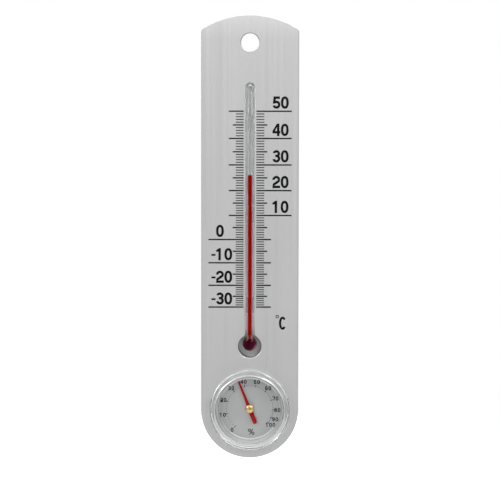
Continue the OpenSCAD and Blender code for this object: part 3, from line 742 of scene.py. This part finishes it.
def needle_material(name, looks):
    """Red lacquer on thin sheet, with rubbed edges and a fine grain."""
    material, shader, where = new_material(name, looks.needle, Roughness=0.35,
                                           Specular_IOR_Level=0.25)
    grain = noise_in(where, 2500.0, 3.0)
    wear = group("Edge wear", Pointiness=pointiness(where), Vector=where, Start=0.54, End=0.68)
    red = shaded(looks.needle, 1.0)
    colour = mixed(ranged(grain, 0.35, 0.65), shaded(red, 0.78), red)
    worn = times(wear.outputs["Mask"], 0.25)
    colour = mixed(worn, colour, (min(1.0, red[0] * 1.6), red[1] + 0.05, red[2] + 0.04, 1.0))
    filled(shader, Base_Color=colour)
    bumped(shader, grain, 0.08, 0.01)
    return material


def made_once(make, name, *given):
    """A material by its name, made when it is first asked for."""
    return bpy.data.materials.get(name) or make(name, *given)


def brass_and_steel(looks):
    """The two turned metals of the gauge."""
    return (made_once(turned_metal, "Turned brass", looks.brass, 0.36, 6000.0, 0.25),
            made_once(turned_metal, "Turned steel", looks.steel, 0.3, 7000.0, 0.1))


# ---- Settings ----

def colour_prop(name, description, default):
    """A setting for a colour."""
    return bpy.props.FloatVectorProperty(name=name, description=description, default=default,
                                         subtype="COLOR", size=3, min=0.0, max=1.0)


def number_prop(name, description, default, **limits):
    """A setting for a number, with its limits and its unit."""
    return bpy.props.FloatProperty(name=name, description=description, default=default, **limits)


def length_prop(name, description, default):
    """A setting for a length, given in millimetres."""
    return number_prop(name, description, default * MM, min=0.0, unit="LENGTH",
                       subtype="DISTANCE", precision=4)


class PlateSettings(bpy.types.PropertyGroup):
    """Sizes and finish of the face plate."""
    colour: colour_prop("Aluminium", "Colour of the brushed sheet", (0.80, 0.80, 0.80))
    roughness: number_prop("Roughness", "How matt the brushing is", 0.42, min=0.1, max=0.9)
    rim: length_prop("Rim", "Radius of the plate's outer edges", 0.4)
    hole_lip: length_prop("Hole lip", "Radius of the hanging hole's edges", 0.45)
    channel_lip: length_prop("Channel lip", "Radius of the bend along the channel", 0.2)
    recess_lip: length_prop("Recess lip", "Radius of the bend around the bulb's recess", 0.4)
    ink: colour_prop("Ink", "Colour of the printed scale", (0.004, 0.004, 0.004))


class TubeSettings(bpy.types.PropertyGroup):
    """Shape and colours of the thermometer tube."""
    neck_fillet: length_prop("Neck fillet", "Radius of the bend between the tube and its bulb", 1.2)
    funnel: length_prop("Funnel", "Height of the spirit's funnel at the top of the bulb", 1.6)
    column: colour_prop("Column", "Colour of the spirit in the bore", (0.31, 0.001, 0.001))
    # The bulb's lower right colour is a painted reflection on the spirit
    bulb_left: colour_prop("Bulb, left", "Colour of the spirit in the bulb, upper left",
                           (0.028, 0.0, 0.0005))
    bulb_right: colour_prop("Bulb, right", "Colour of the spirit in the bulb, lower right",
                            (0.07, 0.002, 0.025))


class GaugeSettings(bpy.types.PropertyGroup):
    """Colours and roundings of the hygrometer."""
    silver: colour_prop("Silver", "Colour of the silvered case", (0.64, 0.64, 0.64))
    dial: colour_prop("Dial", "Colour of the dial's paint", (0.48, 0.48, 0.48))
    ink: colour_prop("Dial ink", "Colour of the dial's print", (0.003, 0.003, 0.003))
    ink_spread: length_prop("Ink spread", "How far the ink runs past the strokes of the print",
                            0.03)
    needle: colour_prop("Needle", "Colour of the needle's lacquer", (0.40, 0.0, 0.0))
    brass: colour_prop("Brass", "Colour of the brass pieces", (0.78, 0.55, 0.26))
    steel: colour_prop("Steel", "Colour of the steel pieces", (0.55, 0.55, 0.56))
    rounding: length_prop("Rounding", "Radius of the case's small edges", 0.15)


class StageSettings(bpy.types.PropertyGroup):
    """Camera, lamps and floor."""
    lens: number_prop("Lens", "Focal length on a 36 mm sensor", 127.58, min=20.0, unit="CAMERA")
    key_power: number_prop("Key", "Power of the upper right soft box", 5.0, min=0.0, unit="POWER")
    fill_power: number_prop("Fill", "Power of the upper left soft box", 4.0, min=0.0, unit="POWER")
    surround: number_prop("Surround", "Light from all round on matt surfaces", 1.0,
                          min=0.0, max=2.0)
    floor_z: number_prop("Floor", "Height of the floor", -0.30, unit="LENGTH", subtype="DISTANCE")


# ---- Pieces ----

def press_profile(radius, middle_y, lip, face_y):
    """Half section of a round channel, from its floor to the bend at a face of the plate."""
    centre_y = face_y + lip
    reach = radius + lip
    centre_r = math.sqrt(reach ** 2 - (centre_y - middle_y) ** 2)
    turn = math.degrees(math.atan2(centre_y - middle_y, centre_r))
    return arc(0, middle_y, radius, 90, turn, 24) + arc(centre_r, centre_y, lip, 180 + turn, 268, 6)


def cup_profile(radius, floor_y, bend, lip, face_y, steps):
    """Half section of a round recess, from the middle of its floor to the bend at a face."""
    corner = arc(radius - bend, floor_y - bend, bend, 90, 0, 10)
    return [(0, floor_y)] + corner + arc(radius + lip, face_y + lip, lip, 180, 268, steps)


def down_to(profile, y):
    """A half section closed at a depth, back to the axis."""
    return profile + [(profile[-1][0], y), (0, y)]


def plate_outline():
    """Outline of the plate: shallow crown, two small corners, straight sides, round foot."""
    corner_x = FOOT_R - CORNER_R
    corner_z = CROWN_Z + math.sqrt((CROWN_R - CORNER_R) ** 2 - corner_x ** 2)
    lean = math.degrees(math.atan2(corner_z - CROWN_Z, corner_x))
    right = arc(corner_x, corner_z, CORNER_R, 0, lean, 8)
    crown = arc(0, CROWN_Z, CROWN_R, lean, 180 - lean, 40)
    left = arc(-corner_x, corner_z, CORNER_R, 180 - lean, 180, 8)
    foot = arc(0, GAUGE_Z, FOOT_R, 180, 360, 96)
    return right + crown[1:-1] + left + foot


def hole_cutter(name, centre, radius, lip):
    """A cutter for a hole whose two edges are rounded by a lip."""
    front = arc(radius + lip, FACE_Y + lip, lip, 268, 180, 6)
    back = arc(radius + lip, BACK_Y - lip, lip, 180, 92, 6)
    profile = [(0, FACE_Y - 1), (front[0][0], FACE_Y - 1)] + front + back
    return lathe(name, profile + [(back[-1][0], BACK_Y + 1), (0, BACK_Y + 1)], centre)


class THERMO_OT_face_plate(bpy.types.Operator):
    """Builds the pressed and brushed face plate."""
    bl_idname = "thermo.face_plate"
    bl_label = "Face plate"

    def execute(self, context):
        looks = context.scene.thermo_plate
        plate = plate_of("plate", plate_outline(), FACE_Y, BACK_Y)
        pick_edges(plate, lambda point: min(abs(point.y - FACE_Y), abs(point.y - BACK_Y)) < 1e-4)
        bpy.ops.mesh.bevel(offset=looks.rim, segments=4, affect="EDGES", clamp_overlap=True)
        closed_up(plate)
        # The channel and the recess stand out behind the sheet
        profile = press_profile(CHANNEL_R + SHEET, CHANNEL_Y, 0.6, BACK_Y)
        trough = round_form("trough", down_to(profile, FACE_Y / 2), CHANNEL_TOP, BULB_Z)
        profile = cup_profile(RECESS_R + SHEET, RECESS_FLOOR + SHEET, 3.0, 0.8, BACK_Y, 6)
        cup = lathe("cup", down_to(profile, FACE_Y / 2), (0, 0, RECESS_Z))
        for form in (trough, cup):
            combine(plate, form, "UNION")
        # Their insides, the hanging hole and the gauge's opening are cut away
        profile = press_profile(CHANNEL_R, CHANNEL_Y, looks.channel_lip / MM, FACE_Y)
        channel = round_form("channel", down_to(profile, FACE_Y - 1), CHANNEL_TOP, BULB_Z)
        profile = cup_profile(RECESS_R, RECESS_FLOOR, 0.9, looks.recess_lip / MM, FACE_Y, 8)
        recess = lathe("recess", down_to(profile, FACE_Y - 1), (0, 0, RECESS_Z))
        hole = hole_cutter("hole", (0, 0, 0), HOLE_R, looks.hole_lip / MM)
        opening = hole_cutter("opening", GAUGE_AXIS, OPENING_R, 0.1)
        for form in (channel, recess, hole, opening):
            combine(plate, form, "DIFFERENCE")
        smooth(plate, 32, weighted=True)
        if len(plate.data.polygons) < 1000:
            raise RuntimeError("the plate's cuts failed")
        placed(plate, "plate_assembly", "brushed_aluminium",
               made_once(plate_material, "Brushed aluminium", looks), "face_plate")
        return {"FINISHED"}


class THERMO_OT_prints(bpy.types.Operator):
    """Gives the printed scales their inks; on the dial it runs past the strokes a little."""
    bl_idname = "thermo.prints"
    bl_label = "Printed scales"

    def execute(self, context):
        plate, gauge = context.scene.thermo_plate, context.scene.thermo_gauge
        scale_ink = made_once(ink_material, "Scale ink", plate.ink, 0.45)
        dial_ink = made_once(ink_material, "Dial ink", gauge.ink, 0.55)
        for name in ("scale_graduations", "scale_numerals", "unit_mark"):
            NODES[name].data.materials[0] = scale_ink
        for name in ("dial_graduations", "dial_numerals"):
            spread = copy_of_node("inked_" + name, name)
            edit(spread)
            bpy.ops.transform.shrink_fatten(value=gauge.ink_spread)
            smooth(closed_up(spread), 30)
            placed(spread, "plate_assembly", "black_ink", dial_ink, name)
        return {"FINISHED"}


def bore_form(name, z0, z1, grow, rings=1):
    """A length of the flat bore, grown by a little, upright between two heights."""
    radius = BORE_DEEP / 2 + grow
    reach = BORE_WIDE / 2 + grow - radius
    section = arc(reach, 0, radius, -90, 90, 8) + arc(-reach, 0, radius, 90, 270, 8)
    obj = pen_line(name, [(x, TUBE_Y + y, z0) for x, y in section])
    bpy.ops.mesh.edge_face_add()
    for _ in range(rings):
        extruded(0, 0, (z1 - z0) / rings)
    return closed_up(obj)


def bulb_profile(radius, neck, top, funnel):
    """Half section of the spirit in the bulb: a ball, a funnel above it and a thin neck."""
    ball = arc(0, 0, radius, -90, 62, 32)
    r0, z0 = ball[-1]
    # The funnel narrows quickly at first, and then slowly
    flare = []
    for i in range(1, 9):
        share = i / 8
        flare.append((neck + (r0 - neck) * (1 - share) ** 2.2, z0 + (radius + funnel - z0) * share))
    return ball + flare + [(neck, top), (0, top)]


class THERMO_OT_tube(bpy.types.Operator):
    """Builds the glass tube with its bulb, spirit, column and adhesive."""
    bl_idname = "thermo.tube"
    bl_label = "Thermometer tube"

    def execute(self, context):
        looks = context.scene.thermo_tube
        centre = (0, TUBE_Y, BULB_Z)
        # The glass: a ball, a bend at its neck and a tube with a round end, hollowed out
        fillet = looks.neck_fillet / MM
        reach = TUBE_R + fillet
        rise = math.sqrt((BULB_R + fillet) ** 2 - reach ** 2)
        lean = math.degrees(math.atan2(rise, reach))
        top = TUBE_TOP - BULB_Z
        outside = (arc(0, 0, BULB_R, -90, lean, 40) + arc(reach, rise, fillet, 180 + lean, 180, 8)
                   + arc(0, top - TUBE_R, TUBE_R, 0, 90, 12))
        tube = lathe("glass_tube", outside, centre, "Z", 64)
        funnel = looks.funnel / MM
        bore_low = COLUMN_LOW.z
        inside = bulb_profile(SPIRIT_R, NECK_R, bore_low - BULB_Z + 0.05, funnel)
        combine(tube, lathe("bulb_room", inside, centre, "Z", 48), "DIFFERENCE")
        combine(tube, bore_form("bore_room", bore_low, TUBE_TOP - 4.0, 0.0), "DIFFERENCE")
        smooth(tube, 40)
        glass = made_once(glass_material, "Tube glass", (0.97, 0.98, 0.98), 1.50, 0.0, 120.0, 0.1)
        placed(tube, "plate_assembly", "tube_glass", glass, "thermometer_tube")

        # The spirit in the bulb, a little larger than its room
        wet = bulb_profile(SPIRIT_R + WET, NECK_R + WET, bore_low - BULB_Z + 0.1, funnel)
        fill = smooth(lathe("bulb_fill", wet, centre, "Z", 64), 40)
        dark = made_once(spirit_material, "Bulb spirit", looks.bulb_left,
                         looks.bulb_right, 4.0, looks.column)
        placed(fill, "plate_assembly", "red_spirit", dark, "bulb_spirit")

        red = made_once(spirit_material, "Column spirit", looks.column,
                        shaded(looks.column, 0.8), 0.0)
        # One ring at each end, and none between them
        column = smooth(bore_form("red_column", bore_low, COLUMN_HIGH.z + 0.02, WET), 40)
        placed(column, None, "red_spirit", red, "spirit_column")
        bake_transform(column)
        crest = bore_form("column_top", MENISCUS_LOW.z, MENISCUS_HIGH.z, WET, 8)
        pick_edges(crest, lambda point: point.z > MENISCUS_HIGH.z - 1e-3)
        bpy.ops.mesh.bevel(offset=0.1 * MM, segments=3, affect="EDGES", clamp_overlap=True)
        smooth(closed_up(crest), 40)
        placed(crest, "spirit_top", "red_spirit", red, "spirit_meniscus")

        # The dabs stay just clear of what they hold
        dabs = copy_of_node("adhesive_dabs", "tube_adhesive")
        edit(dabs)
        bpy.ops.transform.shrink_fatten(value=-0.03 * MM)
        smooth(closed_up(dabs), 40)
        clear = made_once(glass_material, "Clear adhesive", (0.99, 0.99, 0.98), 1.45, 0.0, 900.0,
                          0.5, 0.45)
        placed(dabs, "plate_assembly", "clear_adhesive", clear, "tube_adhesive")
        return {"FINISHED"}


def swung(outline, turn):
    """Points of (x, z) from the dial's axis, turned about it by degrees, leftwards from the top."""
    c, s = math.cos(math.radians(turn)), math.sin(math.radians(turn))
    return [(x * c - z * s, GAUGE_Z + x * s + z * c) for x, z in outline]


def slot_cutter(name, length, width, radius, turn, y0, y1):
    """A cutter for a slot with round ends that lies along a radius of the gauge."""
    half = (length - width) / 2
    section = (arc(radius + half, 0, width / 2, -90, 90, 10)
               + arc(radius - half, 0, width / 2, 90, 270, 10))
    return plate_of(name, swung(section, turn), y0, y1)


class THERMO_OT_case(bpy.types.Operator):
    """Builds the silvered case and the ring that holds it."""
    bl_idname = "thermo.case"
    bl_label = "Hygrometer case"

    def execute(self, context):
        looks = context.scene.thermo_gauge
        edge = looks.rounding / MM
        # From the adjuster's bore along the inside to the mouth, and back along the outside
        corners = [
            (2.45, 7.9, edge), (17.4, 7.9, 0.4), (17.4, 3.4, 0), (18.4, 3.4, 0), (18.4, 2.98, 0),
            (18.0, 2.98, 0), (18.0, 2.5, 0.24), (18.45, 2.5, 0.1), (19.0, -3.3, 0.25),
            (19.8, -3.3, 0.25), (19.8, -1.8, edge), (21.3, -1.8, 0.25), (21.3, -1.0, 0),
            (CASE_R, -1.0, 0), (CASE_R, 4.3, 0.3), (18.9, 4.3, edge), (18.9, 9.5, 0.6),
            (4.0, 9.5, 0.25), (4.0, 8.7, edge), (2.45, 8.7, edge), (2.45, 7.9, 0)]
        case = lathe("case_shell", rounded(corners), GAUGE_AXIS, steps=128)
        for i in range(6):
            combine(case, slot_cutter(f"vent_{i}", 5.0, 1.8, 10.4, 60 * i, 7.0, 10.5), "DIFFERENCE")
        smooth(case)
        silver = made_once(silver_material, "Silvered plastic", looks)
        placed(case, "plate_assembly", "silver_plastic", silver, "hygrometer_case")

        bore = CASE_R + 0.02
        ring_corners = [(bore, 0.0, 0.15), (21.9, 0.0, 0.3), (21.9, 1.6, 0.3), (bore, 1.6, 0.15)]
        profile = rounded(ring_corners, closed=True)
        ring = lathe("retaining_ring", profile, GAUGE_AXIS, steps=128)
        notch = ((20.9, -1.0), (23.0, -1.0), (23.0, 1.0), (20.9, 1.0))
        for side in (-1, 1):
            outline = [(side * x, GAUGE_Z + z) for x, z in notch]
            combine(ring, plate_of("notch", outline, -0.5, 2.1), "DIFFERENCE")
        smooth(ring)
        placed(ring, "plate_assembly", "silver_plastic", silver, "case_ring")
        return {"FINISHED"}


class THERMO_OT_crystal(bpy.types.Operator):
    """Builds the clear crystal with its round rim."""
    bl_idname = "thermo.crystal"
    bl_label = "Crystal"

    def execute(self, context):
        # The rim is a round bead; the window starts in a fillet beside it
        rim_r, rim_y, rim = 21.15, -4.45, 1.55
        window_y, back_y, fillet = -4.6, -3.4, 0.4
        rise = rim_y - (window_y - fillet)
        run = math.sqrt((rim + fillet) ** 2 - rise ** 2)
        lean = math.degrees(math.atan2(rise, run))
        profile = [(0, window_y)]
        profile += arc(rim_r - run, window_y - fillet, fillet, 90, lean, 5)
        profile += arc(rim_r, rim_y, rim, 180 + lean, 360, 32)
        profile += rounded([(22.7, rim_y, 0), (22.7, -1.02, 0.25), (21.5, -1.02, 0.2),
                            (21.5, back_y, 0.3), (0, back_y, 0)])[1:]
        crystal = smooth(lathe("crystal_cover", profile, GAUGE_AXIS, steps=192), 40)
        clear = made_once(glass_material, "Clear plastic", (0.97, 0.98, 0.98), 1.49, 0.0, 90.0,
                          0.15)
        placed(crystal, "plate_assembly", "clear_crystal", clear, "crystal")
        return {"FINISHED"}


class THERMO_OT_dial(bpy.types.Operator):
    """Builds the dial plate and its bearing."""
    bl_idname = "thermo.dial"
    bl_label = "Dial"

    def execute(self, context):
        looks = context.scene.thermo_gauge
        back_y = DIAL_Y + 0.4
        disc = rounded([(1.0, DIAL_Y, 0), (DIAL_R, DIAL_Y, 0.06), (DIAL_R, back_y, 0.06),
                        (1.0, back_y, 0), (1.0, DIAL_Y, 0)], 2)
        dial = smooth(lathe("dial_disc", disc, GAUGE_AXIS, steps=128), weighted=True)
        placed(dial, "plate_assembly", "dial_grey", made_once(dial_material, "Dial paint", looks),
               "dial_plate")
        bush = rounded([(0.42, 2.6, 0.1), (1.5, 2.6, 0.1), (1.5, 2.99, 0), (1.01, 2.99, 0),
                        (1.01, 3.41, 0), (1.5, 3.41, 0), (1.5, 3.8, 0.1), (0.42, 3.8, 0.1)],
                       2, closed=True)
        bearing = smooth(lathe("dial_bearing", bush, GAUGE_AXIS, steps=48))
        placed(bearing, "plate_assembly", "brass", brass_and_steel(looks)[0], "dial_bush")
        return {"FINISHED"}


class THERMO_OT_needle(bpy.types.Operator):
    """Builds the needle, its brass cap, arbor and collet."""
    bl_idname = "thermo.needle"
    bl_label = "Needle"

    def execute(self, context):
        looks = context.scene.thermo_gauge
        body = "needle_assembly"
        # From the tip down to the round tail
        outline = [(-0.525, 17.4), (0.525, 17.4), (1.0, 0.0), (1.25, 0.0)]
        outline += arc(0, -8.05, 1.25, 0, -180, 16) + [(-1.25, 0.0), (-1.0, 0.0)]
        needle = plate_of("pointer", swung(outline, SHOWN_TURN), NEEDLE_LOW.y, NEEDLE_HIGH.y)
        edges_rounded(needle, 0.06)
        smooth(needle, weighted=True)
        placed(needle, body, "red_paint", made_once(needle_material, "Red lacquer", looks),
               "needle")

        brass, steel = brass_and_steel(looks)
        dome = arc(0, 4.2, 4.2, -90, -57, 14)
        cap_profile = dome + rounded(
            [(2.29, 0.68, 0), (2.4, 0.8, 0.05), (2.4, 1.1, 0.08), (0.41, 1.1, 0), (0.41, 0.5, 0),
             (0, 0.5, 0)])
        cap = smooth(lathe("pointer_cap", cap_profile, GAUGE_AXIS, steps=96))
        placed(cap, body, "brass", brass, "needle_cap")
        spindle = rounded([(0, 0.5, 0), (0.4, 0.5, 0), (0.4, 1.35, 0), (0.8, 1.35, 0.05),
                           (0.8, 2.5, 0.08), (0.4, 2.5, 0.05), (0.4, 7.75, 0.1), (0, 7.75, 0)], 2)
        arbor = smooth(lathe("pointer_arbor", spindle, GAUGE_AXIS, steps=40))
        placed(arbor, body, "steel", steel, "arbor")
        sleeve = rounded([(0.41, 4.18, 0.1), (1.2, 4.18, 0.12), (1.2, 6.57, 0.12),
                          (0.41, 6.57, 0.1)], 2, closed=True)
        collet = smooth(lathe("arbor_collet", sleeve, GAUGE_AXIS, steps=48))
        placed(collet, body, "brass", brass, "coil_collet")
        return {"FINISHED"}


class THERMO_OT_movement(bpy.types.Operator):
    """Finishes the adjuster, its clip, the coil and its pin."""
    bl_idname = "thermo.movement"
    bl_label = "Movement"

    def execute(self, context):
        looks = context.scene.thermo_gauge
        body = "adjuster_assembly"
        brass, steel = brass_and_steel(looks)
        strip = made_once(strip_material, "Humidity strip")
        for name, source, slot, material, width in (
                ("adjuster_rotor", "coil_adjuster", "brass", brass, 0.06),
                ("rotor_clip", "adjuster_clip", "steel", steel, 0.05),
                ("coil_pin", "coil_stud", "brass", brass, 0.06)):
            piece = smooth(edges_rounded(copy_of_node(name, source), width))
            placed(piece, body, slot, material, source)
        NODES["humidity_coil"].data.materials[0] = strip
        return {"FINISHED"}


# ---- Stage ----

def soft_box(name, place, aim, width, power):
    """A round area lamp that faces a point."""
    nothing_selected()
    bpy.ops.object.light_add(type="AREA", location=place)
    lamp = bpy.context.object
    lamp.name = name
    lamp.data.shape = "DISK"
    lamp.data.size = width
    lamp.data.energy = power
    lamp.rotation_euler = (Vector(aim) - Vector(place)).to_track_quat("-Z", "Y").to_euler()


def white_world(surround):
    """A white room for the camera, with a darker foot, front and sides where metal mirrors it."""
    world = bpy.data.worlds.new("White room")
    bpy.context.scene.world = world
    world.use_nodes = True
    tree = world.node_tree
    light = tree.nodes["Background"]
    path = tree.nodes.new("ShaderNodeLightPath")
    x, y, z = parts(tree.nodes.new("ShaderNodeTexCoord").outputs["Generated"])
    mirrored = times(ranged(z, -0.50, 0.40, 0.35, 1.6),
                     ranged(times(y, -1.0), 0.82, 0.975, 1.0, 0.12),
                     ranged(absolute(x), 0.45, 0.85, 1.0, 0.5))
    matt = math_node("GREATER_THAN", path.outputs["Diffuse Depth"], 0.5)
    glossy = math_node("GREATER_THAN", path.outputs["Glossy Depth"], 0.5)
    level = node("ShaderNodeMix", i0=glossy, i2=1.0, i3=mirrored).outputs[0]
    soft = times(ranged(z, -1.0, 1.0, 0.5, 1.5), surround)
    level = node("ShaderNodeMix", i0=matt, i2=level, i3=soft).outputs[0]
    filled(light, Strength=level, Color=grey(1.0))


class THERMO_OT_stage(bpy.types.Operator):
    """Sets up the camera, the lamps, the white room and the floor."""
    bl_idname = "thermo.stage"
    bl_label = "Stage"

    def execute(self, context):
        looks = context.scene.thermo_stage
        scene = context.scene
        scene.view_settings.view_transform = "Standard"
        white_world(looks.surround)
        middle = (0, 0, -0.12)
        soft_box("Key light", (0.55, -0.75, 0.62), middle, 0.45, looks.key_power)
        soft_box("Fill light", (-0.75, -0.70, 0.35), middle, 0.45, looks.fill_power)

        nothing_selected()
        bpy.ops.mesh.primitive_circle_add(vertices=128, radius=0.42, fill_type="NGON",
                                          location=(0, 0.12, looks.floor_z))
        floor = started("Floor")
        edit(floor)
        extruded(0, 0, -4.0)
        closed_up(floor)
        # The floor's own light and its paint are of the same grey
        material, shader, _ = new_material("Pale floor", grey(FLOOR_GREY), Roughness=0.8,
                                           Specular_IOR_Level=0.1)
        path = shader.id_data.nodes.new("ShaderNodeLightPath")
        seen = math_node("MAXIMUM", path.outputs["Is Camera Ray"],
                         path.outputs["Is Transmission Ray"])
        filled(shader, Emission_Color=grey(1.0), Emission_Strength=times(seen, FLOOR_GREY))
        floor.data.materials.append(material)

        # The camera stands almost a metre away and a little above the middle of the plate
        eye = Vector((0.00007, -0.9985, -0.0456))
        aim = Vector((0.000064, -0.001, -0.11649))
        bpy.ops.object.camera_add(location=eye)
        camera = bpy.context.object
        camera.name = "Camera"
        camera.data.lens = looks.lens
        camera.data.sensor_width = 36.0
        camera.data.dof.use_dof = False
        camera.rotation_mode = "QUATERNION"
        roll = Quaternion((0, 0, 1), math.radians(0.082))
        camera.rotation_quaternion = (aim - eye).to_track_quat("-Z", "Y") @ roll
        scene.camera = camera
        return {"FINISHED"}


class THERMO_PT_builder(bpy.types.Panel):
    """Buttons and settings in the sidebar."""
    bl_idname = "THERMO_PT_builder"
    bl_label = "Thermometer"
    bl_space_type = "VIEW_3D"
    bl_region_type = "UI"
    bl_category = "Thermometer"

    def draw(self, context):
        layout = self.layout
        for operator in OPERATORS:
            layout.operator(operator.bl_idname)
        for holder in SETTINGS:
            settings = getattr(context.scene, holder)
            column = layout.box().column()
            for key in settings.bl_rna.properties.keys():
                if key not in ("rna_type", "name"):
                    column.prop(settings, key)


OPERATORS = (THERMO_OT_stage, THERMO_OT_face_plate, THERMO_OT_prints, THERMO_OT_tube,
             THERMO_OT_case, THERMO_OT_crystal, THERMO_OT_dial, THERMO_OT_needle,
             THERMO_OT_movement)
SETTINGS = {"thermo_plate": PlateSettings, "thermo_tube": TubeSettings,
            "thermo_gauge": GaugeSettings, "thermo_stage": StageSettings}


def register():
    for cls in (*SETTINGS.values(), *OPERATORS, THERMO_PT_builder):
        bpy.utils.register_class(cls)
    for holder, cls in SETTINGS.items():
        setattr(bpy.types.Scene, holder, bpy.props.PointerProperty(type=cls))


def unregister():
    for holder in SETTINGS:
        delattr(bpy.types.Scene, holder)
    for cls in (THERMO_PT_builder, *reversed(OPERATORS), *SETTINGS.values()):
        bpy.utils.unregister_class(cls)


def main():
    register()
    for make in (grain_group, turning_group, wear_group, dust_group):
        make()
    for operator in OPERATORS:
        family, name = operator.bl_idname.split(".")
        getattr(getattr(bpy.ops, family), name)()
    nothing_selected()


if __name__ == "__main__":
    main()
